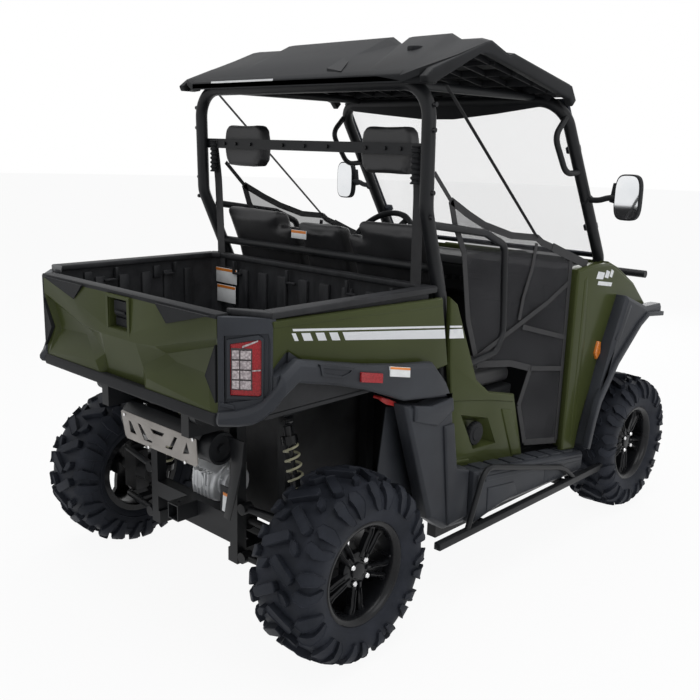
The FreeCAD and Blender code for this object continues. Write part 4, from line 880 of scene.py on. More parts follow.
# Tail lamps: a clear red lens set in each corner piece, over a smoked backing with two columns of
# four clear cells. Bright bars frame the cells at the top and at the middle.
lens = Finish("red_lens", Coat_Weight=0.2, Coat_Roughness=0.04, Specular_IOR_Level=0.2)
cells = lens.cells(210.0)
lens.mottle(cells, (0.0, (0.48, 0.020, 0.028)), (0.9, (0.26, 0.008, 0.012)), (0.1, 0.1))
lens.relief(cells, 0.35, 0.002)
clear = Finish("clear_lens", Coat_Weight=0.6, Coat_Roughness=0.03, Metallic=0.2)
facet = clear.cells(130.0)
clear.mottle(facet, (0.0, (0.62, 0.55, 0.55)), (0.8, (0.24, 0.20, 0.21)), (0.12, 0.2))
clear.relief(facet, 0.5, 0.003)
smoked = Finish("smoked_backing", Roughness=0.3)
shade = smoked.noise(80.0)
smoked.mottle(shade, (0.3, (0.020, 0.014, 0.016)), (0.7, (0.045, 0.030, 0.033)), (0.25, 0.15))
CELLS_LOW, CELL_PITCH = 957, 29.5


def lamp_cells(mesh):
    prism(
        mesh, ((35, 937), (119, 937), (126, 942), (126, 1100), (122, 1104), (35, 1088)), "y", 12, 5,
        soft=2, segments=2,
    )
    block(mesh, (38, 99), (954, 1077), "y", 6, 3.5, kind=2)
    for row in range(4):
        for low_u, wide_u in ((41, 21), (65, 31)):
            low_z = CELLS_LOW + row * CELL_PITCH
            block(
                mesh, (low_u, low_u + wide_u), (low_z, low_z + 25), "y", 5, 1, slope=3, rise=1, soft=1.5,
                kind=1,
            )
    prism(mesh, ((70, 1077), (116, 1098), (116, 1103), (70, 1084)), "y", 6, 3, soft=0.8, kind=1)
    prism(mesh, ((98, 1010), (124, 1013), (124, 1017), (98, 1014)), "y", 6, 3, soft=0.8, kind=1)


corner_piece("tail_lamp_lenses", "cargo_bed", lamp_cells, lens, "tail_lamps", finishes=(clear, smoked))

# Flare fittings: a red reflector and a blank label are fixed on each flare's face, and the bed's
# release lever in red vinyl sticks out under its edge.
mesh = bmesh.new()
prism(mesh, ((17, 967), (117, 946), (117, 915), (17, 936)), "y", -668, -678, slope=2, rise=-1, soft=1.5)
both_sides(mesh)
set_in(mesh, "flare_reflectors", lens, "cargo_bed")
mesh = bmesh.new()
prism(mesh, ((155, 962), (257, 941), (258, 908), (157, 929)), "y", -668, -673.5, soft=0.6)
prism(mesh, ((156, 961), (256, 940), (256, 933), (156, 954)), "y", -670, -674.5, kind=1)
both_sides(mesh)
set_in(mesh, "flare_labels", card, "cargo_bed", finishes=(amber_card,))
lever_red = Finish("lever_red_vinyl", Roughness=0.4)
tone = lever_red.noise(50.0)
lever_red.mottle(tone, (0.3, (0.40, 0.012, 0.012)), (0.7, (0.58, 0.03, 0.025)), (0.34, 0.2))
mesh = bmesh.new()
prism(
    mesh, ((200, 838), (240, 822), (284, 800), (278, 788), (230, 804), (198, 823)), "y", -592, -606,
    soft=4, segments=3,
)
round_bar(mesh, "y", (212, 828), -596, -560, 6, 16)
both_sides(mesh)
set_in(mesh, "bed_release_levers", lever_red, "cargo_bed")

# Side panels: olive panels behind each door, with the filler cap in a slanted recess on the right.
# The far side has the same panel with a plain pocket instead.


def pierced(mesh, outline, holes, axis, low, high, soft=0.0):
    """A plate with holes through it, from low to high along an axis, in millimetres."""
    edges = []
    for loop in (outline, *holes):
        corners, push = on_axis(loop, axis, low, high)
        ring = [mesh.verts.new(corner) for corner in corners]
        edges += [mesh.edges.new(two) for two in zip(ring, ring[1:] + ring[:1])]
    filled = faces_in(bmesh.ops.triangle_fill(mesh, edges=edges, use_beauty=True)["geom"])
    made = bmesh.ops.extrude_face_region(mesh, geom=filled, use_keep_orig=True)["geom"]
    slide(mesh, corners_in(made), push)
    top = faces_in(made)
    shell = set(filled) | set(top) | {f for top_face in top for e in top_face.edges for f in e.link_faces}
    bmesh.ops.recalc_face_normals(mesh, faces=list(shell))
    if soft:
        rims = {e for f in shell for e in f.edges if e.calc_face_angle(0) > math.radians(30)}
        bevelled(mesh, list(rims), soft / 1000, 2)


mesh = bmesh.new()
SIDE = (
    (530, 1140), (576, 1111), (721, 808), (810, 743), (989, 700), (1082, 419), (645, 481), (590, 481),
    (580, 520), (563, 800), (545, 893),
)
RECESS = ((640, 684), (816, 636), (880, 520), (730, 530))
RECESS_FLOOR = ((662, 655), (786, 622), (826, 542), (742, 548))
LEDGE = (
    (531, 1137), (575, 1108), (719, 806), (809, 741), (986, 698), (983, 668), (806, 708), (700, 728),
    (566, 752), (547, 893),
)
for side in (-1, 1):
    pierced(mesh, SIDE, (RECESS,), "y", side * 600.3, side * 613, soft=1.5)
    for spot in range(4):
        wall = [(x, 611, z) for x, z in (RECESS[spot - 1], RECESS[spot])]
        wall += [(x, 568, z) for x, z in (RECESS_FLOOR[spot], RECESS_FLOOR[spot - 1])]
        mesh.faces.new([mesh.verts.new(place(x, side * y, z)) for x, y, z in wall])
    prism(mesh, RECESS_FLOOR, "y", side * 566, side * 568.5)
    prism(mesh, LEDGE, "y", side * 611, side * 617, slope=6, rise=3, soft=1.2)
    prism(
        mesh, ((905, 655), (972, 640), (1074, 428), (1000, 440)), "y", side * 611, side * 615, slope=5,
        rise=2.5, soft=1,
    )
    prism(
        mesh, ((585, 520), (600, 500), (700, 486), (700, 500), (602, 516)), "y", side * 611, side * 617,
        slope=3, rise=2, soft=1,
    )
set_in(mesh, "side_skins", olive, "chassis", "side_panels")

# Filler cap: a ribbed black screw cap on a short neck in the right side's recess, with a moulded
# shelf under it. Eighteen grips stand round its rim.
mesh = bmesh.new()
spun(mesh, [(0, 0), (0, 40), (4, 46), (18, 47), (24, 44), (26, 30), (29, 28), (30, 0)], 48, closed=False)
CAP_GRIPS = 18
for turn in range(CAP_GRIPS):
    grip = bmesh.ops.create_cube(mesh, size=1)["verts"]
    bmesh.ops.scale(mesh, vec=(0.006, 0.016, 0.006), verts=grip)
    slide(mesh, grip, (0.0465, 0.012, 0))
    swing(mesh, grip, math.tau * turn / CAP_GRIPS, "Y")
bmesh.ops.scale(mesh, vec=(0.94, -1, 0.94), verts=mesh.verts)
slide(mesh, mesh.verts, place(743, -592, 589))
prism(mesh, ((700, 556), (786, 540), (790, 546), (704, 564)), "y", -566, -600, soft=2)
bmesh.ops.recalc_face_normals(mesh, faces=mesh.faces)
set_in(mesh, "filler_cap", moulded, "chassis", "fuel_cap")

# Rear corner guards and sills: folded slate polymer with stepped faces. The sill is a tread in front
# of the door, with raised grip bars.
mesh = bmesh.new()
guard = ((258, 807), (387, 781), (522, 790), (563, 511), (640, 490), (640, 270), (511, 283), (414, 352))
prism(mesh, guard, "y", -600.3, -650, slope=18, rise=10, soft=4, segments=3)
prism(
    mesh, ((300, 800), (392, 780), (512, 788), (520, 740), (430, 700), (300, 745)), "y", -640, -668,
    slope=14, rise=4, soft=3,
)
prism(
    mesh, ((470, 690), (528, 690), (560, 510), (636, 486), (636, 300), (520, 296)), "y", -650, -666,
    slope=10, rise=4, soft=2.5,
)
sill = ((645, 480), (1460, 365), (1455, 280), (1372, 277), (840, 297), (645, 272))
prism(mesh, sill, "y", -598.5, -682, slope=16, rise=14, soft=4, segments=3)
prism(mesh, ((700, 452), (1430, 350), (1430, 334), (700, 430)), "y", -684, -700, slope=5, rise=1, soft=2)
prism(mesh, ((720, 400), (900, 376), (930, 318), (720, 306)), "y", -686, -699, slope=9, rise=2, soft=2)
prism(
    mesh, ((1130, 372), (1400, 336), (1390, 300), (1130, 310)), "y", -686, -696, slope=8, rise=2, soft=2,
)
SILL_START, SILL_HIGH, SILL_FALL = 645, 480, 0.1411
for step in range(7):
    lead = 700 + step * 104
    level = SILL_HIGH - (lead - SILL_START) * SILL_FALL
    grip = ((lead, level - 2), (lead + 84, level - 14), (lead + 84, level - 6), (lead, level + 6))
    prism(mesh, grip, "y", -604, -672, soft=2)
prism(mesh, ((200, 330), (470, 290), (480, 740), (270, 780)), "y", -560, -566, soft=2)
both_sides(mesh)
set_in(mesh, "guards_and_sills", slate, "chassis", "rocker_panels")

# Front fenders and flares: the olive fender rises beside the screen and folds over the wheel, and a
# wide slate flare is screwed along its edge. A small amber marker sits where they meet.
mesh = bmesh.new()
fender = (
    (1333, 388), (1347, 1163), (1467, 1177), (1637, 1173), (1863, 1068), (2020, 940), (1830, 900),
    (1640, 750), (1520, 600), (1470, 480), (1440, 372),
)
prism(mesh, fender, "y", -634, -652, slope=8, rise=6, soft=2, segments=3)
prism(mesh, ((1340, 400), (1350, 1158), (1372, 1160), (1366, 400)), "y", -604, -657, soft=4)
prism(
    mesh, ((1392, 420), (1400, 1120), (1424, 1140), (1446, 900), (1420, 420)), "y", -650, -659, slope=7,
    rise=1, soft=1.5,
)
shelf = (
    (1600, 1187), (1700, 1152), (1863, 1068), (2020, 942), (2010, 928), (1855, 1052), (1700, 1134),
    (1600, 1168),
)
prism(mesh, shelf, "y", -451, -655, soft=3, segments=3)
prism(
    mesh, ((1347, 1150), (1620, 1170), (1620, 1180), (1467, 1182), (1347, 1170)), "y", -600, -656, soft=3,
)
both_sides(mesh)
set_in(mesh, "fender_skins", olive, "chassis", "front_fenders")
mesh = bmesh.new()
flare = (
    (1448, 380), (1480, 496), (1515, 579), (1642, 730), (1832, 880), (1907, 915), (2060, 900),
    (2060, 960), (1907, 962), (1700, 1033), (1596, 822), (1440, 400),
)
prism(mesh, flare, "y", -655.5, -705, slope=20, rise=12, soft=4, segments=3)
lip = (
    (1448, 384), (1482, 500), (1517, 583), (1644, 734), (1832, 882), (1907, 918), (2056, 904),
    (2056, 925), (1905, 938), (1818, 900), (1622, 752), (1492, 600), (1456, 508), (1424, 396),
)
prism(mesh, lip, "y", -700, -729, slope=7, rise=1, soft=3, segments=3)
prism(
    mesh, ((1618, 850), (1722, 1000), (1744, 984), (1646, 822)), "y", -700, -716, slope=8, rise=2, soft=2,
)
both_sides(mesh)
set_in(mesh, "flare_skins", slate, "chassis", "front_flares")
amber = Finish("amber_lens", Coat_Weight=0.7, Coat_Roughness=0.05, Roughness=0.15)
facet = amber.cells(260.0)
amber.mottle(facet, (0.0, (0.85, 0.30, 0.03)), (0.8, (0.55, 0.12, 0.01)), (0.12, 0.15))
amber.relief(facet, 0.4, 0.002)
mesh = bmesh.new()
prism(
    mesh, ((1534, 790), (1554, 842), (1576, 836), (1580, 784), (1552, 760)), "y", -650, -668, slope=5,
    rise=2, soft=2,
)
both_sides(mesh)
set_in(mesh, "side_markers", amber, "chassis")
white_print = Finish("white_print", Roughness=0.3)
tone = white_print.noise(30.0)
white_print.mottle(tone, (0.3, (0.74, 0.75, 0.76)), (0.7, (0.84, 0.85, 0.85)))
mesh = bmesh.new()
for lead, tail in ((1500, 1560), (1574, 1606), (1618, 1640)):
    prism(mesh, ((lead, 1120), (tail, 1112), (tail + 14, 1140), (lead + 14, 1150)), "y", -656, -658.6)
prism(mesh, ((1516, 1092), (1640, 1074), (1648, 1090), (1522, 1108)), "y", -656, -658.6)
for band in (
    ((534, 1030), (604, 1021), (604, 1028), (534, 1037)),
    ((534, 991), (620, 980), (608, 1016), (534, 1024)),
):
    prism(mesh, band, "y", -618, -621.2)
both_sides(mesh)
set_in(mesh, "body_stripes", white_print, "chassis")

# Hood and nose: an olive hood with a raised middle, over a slate fascia with a barred grille and
# clear headlamps set into its upper corners.
mesh = bmesh.new()
skin = (
    (1580, 1187), (1863, 1085), (2110, 985), (2200, 880), (2190, 864), (2098, 968), (1858, 1066),
    (1580, 1165),
)
prism(mesh, skin, "y", -449, 449, soft=4, segments=3)
bulge = (
    (1600, 1176), (1860, 1082), (2104, 984), (2160, 920), (2168, 936), (2112, 996), (1866, 1097),
    (1610, 1189),
)
prism(mesh, bulge, "y", -236, 236, soft=5, segments=3)
for side in (-1, 1):
    outline = ((1700, 1140), (1860, 1078), (2060, 1000), (2060, 1012), (1866, 1089), (1706, 1152))
    prism(mesh, outline, "y", side * 300, side * 400, soft=3)
set_in(mesh, "hood_skin", olive, "chassis", "hood")
mesh = bmesh.new()
nose = mirrored(((430, 862), (430, 680), (300, 650), (260, 480)), 0)
grille = ((-205, 828), (205, 828), (180, 640), (-180, 640))
lower = ((-190, 612), (190, 612), (170, 520), (-170, 520))
holes = [grille, lower] + [
    [(side * y, z) for y, z in ((424, 846), (236, 820), (236, 752), (405, 738))] for side in (-1, 1)
]
pierced(mesh, nose, holes, "x", 2132, 2188, soft=4)
block(mesh, (-425, 425), (855, 690), "x", 2131, 2136)
block(mesh, (-255, 255), (680, 490), "x", 2131, 2136)
for level in (664, 692, 720, 748, 776, 804):
    block(mesh, (-200, 200), (level, level + 9), "x", 2150, 2176, soft=3)
for level in (540, 566, 592):
    block(mesh, (-186, 186), (level, level + 8), "x", 2150, 2174, soft=3)
prism(mesh, ((-40, 640), (40, 640), (52, 828), (-52, 828)), "x", 2160, 2186, slope=8, rise=3, soft=3)
for side in (-1, 1):
    prism(
        mesh, [(side * y, z) for y, z in ((432, 866), (445, 880), (445, 690), (432, 690))], "x", 2100,
        2186, soft=4,
    )
set_in(mesh, "nose_skin", slate, "chassis", "front_fascia")
mesh = bmesh.new()
for side in (-1, 1):
    glass_line = [(side * y, z) for y, z in ((420, 843), (240, 817), (240, 756), (402, 742))]
    prism(mesh, glass_line, "x", 2140, 2197, slope=10, rise=6, soft=3, segments=3)
    for across, wide in ((360, 27), (290, 22)):
        made = bmesh.ops.create_uvsphere(mesh, u_segments=24, v_segments=12, radius=wide / 1000)["verts"]
        bmesh.ops.scale(mesh, vec=(0.45, 1, 1), verts=made)
        slide(mesh, made, place(2198, side * across, 792))
set_in(mesh, "headlamp_lenses", clear, "chassis", "headlamps")

# Roof: one moulded black shell that slopes both ways from a ridge across it. Two raised blocks are
# parted by a notch, steps run down both slopes, and ribs and a deep header stiffen the underside.
ROOF_ROWS = (
    (300, 1866, 0, 546), (321, 1888, 0, 606), (470, 1941, 0.5, 640), (622, 1995, 1, 643),
    (654, 2002, 1, 643),
    (764, 1962, 0.2, 643), (790, 1972, 0.55, 643), (1186, 1893, 0.35, 640), (1228, 1880, 0.15, 620),
    (1262, 1872, 0, 560),
)
ROOF_STEPS = (
    (643, 643, -8), (590, 575, 2), (570, 544, 18), (345, 392, 16), (331, 372, 18), (300, 326, 33),
    (-180, -205, 34),
    (-384, -246, 9), (-394, -262, 9), (-410, -300, 30), (-560, -474, 31), (-586, -515, 9),
    (-628, -600, 8), (-643, -643, -3),
)


def roof_skin(mesh, drop):
    """The shell's surface as rows of corners, which lie lower by drop."""
    skin = []
    for along, level, share, half in ROOF_ROWS:
        lean = min(max((along - 321) / 320, 0), 1)
        row = []
        for low_across, high_across, lift in ROOF_STEPS:
            across = low_across + (high_across - low_across) * lean
            across = min(max(across, -half), half)
            row.append(mesh.verts.new(place(along, across, level + lift * share - drop)))
        skin.append(row)
    return skin


mesh = bmesh.new()
skin = roof_skin(mesh, 0)
under = roof_skin(mesh, 22)
rims = []
for rows in (skin, under):
    for near, far in zip(rows, rows[1:]):
        for corners in zip(near, near[1:], far[1:], far):
            mesh.faces.new(corners)
    rims.append(
        rows[0] + [row[-1] for row in rows[1:-1]] + rows[-1][::-1] + [row[0] for row in rows[-2:0:-1]]
    )
rim, low_rim = rims
for corners in zip(rim, rim[1:] + rim[:1], low_rim[1:] + low_rim[:1], low_rim):
    mesh.faces.new(corners)
bmesh.ops.recalc_face_normals(mesh, faces=mesh.faces)
edges = [e for e in mesh.edges if e.calc_face_angle(0) > math.radians(14)]
bevelled(mesh, edges, 0.004, 2)
prism(mesh, ((300, 1845), (324, 1848), (332, 1880), (321, 1889), (300, 1870)), "y", -545, 545, soft=4)
NOTCH = ((334, -182, 1903), (541, -128, 1985), (316, -268, 1889), (334, -182, 1888), (541, -128, 1960))
notch = [mesh.verts.new(place(*point)) for point in NOTCH]
for corners in ((0, 1, 2), (0, 3, 4, 1), (0, 2, 3), (1, 4, 2), (2, 4, 3)):
    mesh.faces.new([notch[spot] for spot in corners])
angles = [math.tau * s / 8 + 0.3 for s in range(8)]
vent, vent_hole = (
    [(508 + along * math.cos(angle), -430 + across * math.sin(angle)) for angle in angles]
    for along, across in ((26, 30), (14.3, 16.5))
)
framed(mesh, vent, vent_hole, "z", 1960, 1976, slope=2, rise=3, soft=1)
for across in range(-560, 561, 112):
    outline = (
        (345, 1864), (640, 1972), (660, 1972), (1225, 1866), (1225, 1848), (664, 1950), (636, 1950),
        (345, 1846),
    )
    prism(mesh, outline, "y", across - 5, across + 5, soft=1.5)
for along, level in ((460, 1888), (560, 1926), (760, 1932), (900, 1906), (1040, 1880), (1150, 1860)):
    block(mesh, (along - 5, along + 5), (level, level + 26), "y", -585, 585, soft=1.5)
EAVE = (
    (308, 1862), (345, 1890), (622, 1992), (650, 1998), (762, 1958), (787, 1969), (1197, 1888),
    (1234, 1836), (1210, 1812), (1184, 1840), (650, 1953), (600, 1955), (354, 1843), (316, 1843),
)
for side in (-1, 1):
    prism(mesh, EAVE, "y", side * 616, side * 643, slope=6, rise=4, soft=5, segments=3)
    prism(
        mesh, [(x, side * y) for x, y in ((300, 540), (350, 632), (380, 632), (340, 540))], "z", 1842,
        1872, soft=4,
    )
HEADER = (
    (-560, 1858), (-536, 1824), (-500, 1812), (-300, 1786), (-83, 1764), (83, 1764), (300, 1782),
    (500, 1800), (536, 1824), (560, 1858),
)
prism(mesh, HEADER, "x", 1200, 1208, soft=2)
set_in(mesh, "roof_shell", moulded, "chassis", "roof_panel")
mesh = bmesh.new()
block(mesh, (298.5, 301), (1866, 1873), "y", 60, 420)
set_in(mesh, "roof_label", card, "chassis")

# Screen: a clear plastic sheet in a rubber edge, set between the front posts. Two clamps on each
# side hold it to the posts.
screen = Finish("clear_sheet", Base_Color=(0.94, 0.96, 0.97), Roughness=0.03, Coat_Weight=0.2)
smear = screen.noise(14.0)
screen.plug(Roughness=0.03 + smear * 0.05, Alpha=0.10 + smear * 0.01)
mesh = bmesh.new()
glass = ((1646, 1196), (1650, 1197), (1249, 1840), (1246, 1838))
prism(mesh, glass, "y", -590, 590)
set_in(mesh, "screen_sheet", screen, "chassis", "windshield")
mesh = bmesh.new()
prism(mesh, ((1641, 1190), (1656, 1192), (1644, 1214), (1630, 1208)), "y", -600, 600, soft=2)
prism(mesh, ((1262, 1818), (1272, 1824), (1254, 1846), (1240, 1840)), "y", -600, 600, soft=2)
for side in (-1, 1):
    prism(
        mesh, ((1640, 1193), (1655, 1200), (1254, 1845), (1240, 1836)), "y", side * 586, side * 600,
        soft=2,
    )
for side in (-1, 1):
    for share in (0.22, 0.72):
        x, z = 1648 - 400 * share, 1197 + 642 * share
        prism(
            mesh, ((x - 14, z - 26), (x + 20, z - 10), (x + 6, z + 14), (x - 28, z - 2)), "y", side * 556,
            side * 606, soft=3,
        )
set_in(mesh, "screen_edging", rubber, "chassis")

# Cage details: screw heads along the bar behind the heads and on the rear posts, and a grab handle
# of bent tube on each front post, which a rider holds when climbing in.
mesh = bmesh.new()
for across in (-470, -400, -310, -120, 0, 120, 310, 400, 470):
    round_bar(mesh, "x", (across, 1639), 398, 405, 7, segments=16)
for side in (-1, 1):
    for level in (1420, 1500, 1700, 1780):
        round_bar(
            mesh, "y", (385 if level > 1600 else 392, level), side * 622, side * 632, 8, segments=12,
        )
set_in(mesh, "cage_screws", gloss, "chassis")


def hoop(mesh, centre, first, second, radius, count):
    """A ring of corners round a centre, in the plane of two directions."""
    angles = [math.tau * s / count for s in range(count)]
    return [
        mesh.verts.new(centre + (first * math.cos(a) + second * math.sin(a)) * radius) for a in angles
    ]


def pipe(mesh, points, radius, segments=16):
    """A round tube through points in millimetres, mitred at its corners."""
    line = [place(*point) for point in points]
    rings = []
    side = None
    for spot, point in enumerate(line):
        before = line[spot] - line[spot - 1] if spot else line[1] - line[0]
        after = line[spot + 1] - point if spot + 1 < len(line) else before
        lean = (before.normalized() + after.normalized()).normalized()
        if side is None:
            side = lean.orthogonal().normalized()
        side = (side - lean * side.dot(lean)).normalized()
        rings.append(hoop(mesh, point, side, lean.cross(side), radius / 1000, segments))
    lofted(mesh, rings)


def rounded(points, reach, steps=6):
    """The same line with each inner corner drawn as a curve of that reach."""
    line = [Vector(point) for point in points]
    smooth = [line[0]]
    for a, b, c in zip(line, line[1:], line[2:]):
        near = min(reach, (b - a).length * 0.45)
        far = min(reach, (c - b).length * 0.45)
        start = b + (a - b).normalized() * near
        end = b + (c - b).normalized() * far
        for step in range(steps + 1):
            t = step / steps
            smooth.append(start * (1 - t) ** 2 + b * 2 * t * (1 - t) + end * t * t)
    smooth.append(line[-1])
    return [tuple(point) for point in smooth]


mesh = bmesh.new()
handle = rounded(((1240, -604, 1772), (1165, -604, 1700), (1272, -604, 1555), (1385, -604, 1563)), 45)
pipe(mesh, handle, 12)
both_sides(mesh)
set_in(mesh, "grab_handles", coat, "chassis")

# Mirrors: black moulded shells on bent arms that are clamped round the front posts, with silvered
# glass facing back. Their outline lies between an oval and a box.
MIRROR_OUT, MIRROR_UP, MIRROR_ROUND = 786, 1469, 0.55


def mirror_outline(side, wide, tall):
    """A rounded rectangle between an oval and a box."""
    outline = []
    for step in range(40):
        c, s = math.cos(math.tau * step / 40), math.sin(math.tau * step / 40)
        c, s = (math.copysign(abs(value) ** MIRROR_ROUND, value) for value in (c, s))
        outline.append((side * MIRROR_OUT + wide * c, MIRROR_UP + tall * s))
    return outline


mesh = bmesh.new()
for side in (-1, 1):
    prism(mesh, mirror_outline(side, 56, 92), "x", 1447, 1475, slope=16, rise=8, soft=4, segments=3)
    arm = ((1457, 600, 1450), (1457, 660, 1450), (1462, 700, 1464), (1462, 740, 1464))
    pipe(mesh, rounded([(x, side * y, z) for x, y, z in arm], 20), 12)
    bracket = [(side * y, z) for y, z in ((704, 1446), (738, 1440), (738, 1524), (716, 1524))]
    prism(mesh, bracket, "x", 1458, 1474, soft=3)
    round_bar(mesh, "x", (side * 604, 1450), 1436, 1478, 20, segments=20)
set_in(mesh, "mirror_shells", moulded, "chassis", "mirrors")
silvered = Finish("silvered_glass", Metallic=1.0, Roughness=0.04)
haze = silvered.noise(9.0)
silvered.mottle(haze, (0.3, (0.78, 0.80, 0.82)), (0.7, (0.86, 0.87, 0.88)), (0.03, 0.04))
mesh = bmesh.new()
for side in (-1, 1):
    prism(mesh, mirror_outline(side, 50, 86), "x", 1445, 1447.6)
set_in(mesh, "mirror_glasses", silvered, "chassis")

# Cabin tub and seat base: a ribbed moulded floor between the doors that rises to a toe board at the
# front, and a seat box with sunken panels that closes the space under the cushions.
mesh = bmesh.new()
tub = ((600, 345), (1450, 345), (1492, 490), (1562, 720), (1592, 960))
inner = ((1582, 962), (1552, 722), (1482, 494), (1442, 357), (600, 357))
prism(mesh, (*tub, *inner), "y", -569, 569, soft=1.5)
for across in range(-480, 481, 96):
    block(mesh, (1110, 1430), (355, 364), "y", across - 12, across + 12, slope=3, rise=0, soft=2)
for across in (-520, 520, 0):
    prism(
        mesh, ((1440, 356), (1450, 390), (1480, 492), (1470, 500), (1425, 380), (1425, 356)), "y",
        across - 20, across + 20, soft=3,
    )
set_in(mesh, "floor_tub", moulded, "chassis", "cabin_floor")
mesh = bmesh.new()
box = ((620, 365), (640, 713), (1078, 713), (1050, 365))
prism(mesh, box, "y", -544, 544, soft=8, segments=3)
prism(mesh, ((700, 380), (700, 690), (1060, 690), (1040, 380)), "y", -530, -549, slope=12, rise=0, soft=2)
for across in (-330, 0, 330):
    block(mesh, (across - 140, across + 140), (400, 680), "x", 1050, 1068, slope=10, rise=2, soft=2)
set_in(mesh, "seat_box", moulded, "chassis", "seat_base")

# Seats: black vinyl over foam. Two wide places and a narrow middle one, each a swelling cushion
# with sewn seams, backs that lean on the lower bar, and two head pads on the upper bar.
vinyl = Finish("vinyl", Roughness=0.5)
grain = vinyl.cells(260.0, "DISTANCE_TO_EDGE")
wear = vinyl.noise(7.0)
vinyl.mottle(wear, (0.3, (0.012, 0.012, 0.013)), (0.75, (0.026, 0.026, 0.028)), (0.42, 0.2))
vinyl.relief(grain, 0.35, 0.001)
seam_thread = Finish("seam_thread", Roughness=0.8)
twist = seam_thread.noise(300.0)
seam_thread.mottle(twist, (0.3, (0.02, 0.02, 0.022)), (0.7, (0.05, 0.05, 0.055)))


def swollen(name, node, blocks, bulge, soft=14, calm=6):
    """A padded piece from blocks, blown out by the cloth solver no further than bulge, in millimetres."""
    mesh = bmesh.new()
    for outline, axis, low, high in blocks:
        prism(mesh, outline, axis, low, high, soft=soft, segments=3)
    item = set_in(mesh, name, vinyl, "chassis", node)
    remesh = item.modifiers.new("even", "REMESH")
    remesh.mode = "VOXEL"
    remesh.voxel_size = 0.007
    apply_all(item)
    start = [v.co.copy() for v in item.data.vertices]
    cloth = item.modifiers.new("air", "CLOTH")
    cloth.settings.use_pressure = True
    cloth.settings.uniform_pressure_force = 4.0
    cloth.settings.effector_weights.gravity = 0
    cloth.settings.quality = 4
    cloth.point_cache.frame_end = 20
    for frame_at in range(1, 21):
        scene.frame_set(frame_at)
    apply_all(item)
    scene.frame_set(1)
    for vertex, home in zip(item.data.vertices, start):
        shift = vertex.co - home
        if shift.length > bulge / 1000:
            vertex.co = home + shift.normalized() * bulge / 1000
    smooth = item.modifiers.new("smooth", "SMOOTH")
    smooth.iterations = calm
    apply_all(item)
    for face in item.data.polygons:
        face.use_smooth = True
    return item


def apply_all(item):
    """Make the shown shape of an object its mesh."""
    shown = item.evaluated_get(bpy.context.evaluated_depsgraph_get())
    fresh = bpy.data.meshes.new_from_object(shown)
    item.modifiers.clear()
    item.data = fresh


CUSHION = ((732, 722), (732, 786), (760, 797), (1060, 793), (1092, 770), (1090, 724))
BACK_REST = ((600, 1228), (708, 884), (716, 734), (652, 734), (610, 952), (522, 1226))
BACK = ((456, 1368), (478, 1384), (538, 1374), *BACK_REST)
LOW_BACK = ((480, 1310), (496, 1324), (548, 1316), *BACK_REST)
MIDDLE_BACK = ((468, 1334), (486, 1348), (542, 1340), *BACK_REST)
HEAD = (
    (-124, 1636), (-113, 1578), (-92, 1550), (92, 1550), (113, 1578), (124, 1636), (112, 1694),
    (90, 1714), (-90, 1714), (-112, 1694),
)
places = ((-532, -148), (-128, 128), (148, 532))
back_blocks = [(MIDDLE_BACK, "y", -116, 116)]
for side in (-1, 1):
    back_blocks.append((BACK, "y", *sorted((side * 225, side * 540))))
    back_blocks.append((LOW_BACK, "y", *sorted((side * 148, side * 240))))
swollen("seat_pads", "seat_cushions", [(CUSHION, "y", low, high) for low, high in places], 8)
swollen("back_pads", "seat_backs", back_blocks, 7)
head_blocks = [([(across + y, z) for y, z in HEAD], "x", 424, 478) for across in (-382, 382)]
swollen("head_pads", "headrests", head_blocks, 4, soft=6, calm=2)
mesh = bmesh.new()
SEAM_INSET = 26
for low, high in places:
    low, high = low + SEAM_INSET, high - SEAM_INSET
    loop = [(770, low, 800.5), (1040, low, 800.5), (1040, high, 800.5), (770, high, 800.5)]
    pipe(mesh, rounded(loop + loop[:1], 30), 1.6, segments=6)
set_in(mesh, "seat_seams", seam_thread, "chassis")

# Belts: webbing that comes up through corrugated sleeves behind each outer seat and crosses to a
# buckle beside the middle seat.
webbing = Finish("webbing", Roughness=0.75)
weft = webbing.bands(160.0, 2.0)
fray = webbing.noise(40.0)
webbing.mottle(weft, (0.2, (0.012, 0.012, 0.013)), (0.8, (0.035, 0.035, 0.037)))
webbing.plug(Roughness=0.65 + fray * 0.2)
webbing.relief(weft, 0.5, 0.001)


def strap(mesh, points, wide, thick, facing=(0, 1, 0)):
    """Flat webbing through points in millimetres, its width laid along facing."""
    line = [place(*point) for point in points]
    rings = []
    for spot, point in enumerate(line):
        lean = (line[min(spot + 1, len(line) - 1)] - line[max(spot - 1, 0)]).normalized()
        flat = Vector(facing)
        flat = (flat - lean * flat.dot(lean)).normalized() * wide / 2000
        up = lean.cross(flat).normalized() * thick / 2000
        corners = (-flat - up, flat - up, flat + up, up - flat)
        rings.append([mesh.verts.new(point + corner) for corner in corners])
    lofted(mesh, rings)


mesh = bmesh.new()
for side in (-1, 1):
    rings = []
    for step in range(29):
        z = 1524 + 124 * step / 28
        wave = 20 if step % 4 < 2 else 14
        centre = place(404, side * 540, z)
        rings.append(hoop(mesh, centre, Vector((0.7, 0, 0)), Vector((0, 1, 0)), wave / 1000, 20))
    lofted(mesh, rings)
set_in(mesh, "belt_sleeves", moulded, "chassis", "seat_belts")
mesh = bmesh.new()
for side in (-1, 1):
    webbing_line = (
        (404, side * 540, 1640), (404, side * 540, 1660), (426, side * 540, 1500),
        (434, side * 535, 1240),
        (438, side * 535, 1060),
    )
    strap(mesh, rounded(webbing_line, 40), 46, 1.6)
    tongue_line = ((640, side * 140, 720), (690, side * 139, 800), (715, side * 139, 850))
    strap(mesh, rounded(tongue_line, 20), 40, 2, facing=(0, 0, 1))
set_in(mesh, "belt_webbing", webbing, "chassis")
mesh = bmesh.new()
block(mesh, (-6, 76), (1290, 1322), "x", 417, 414, soft=0.6)
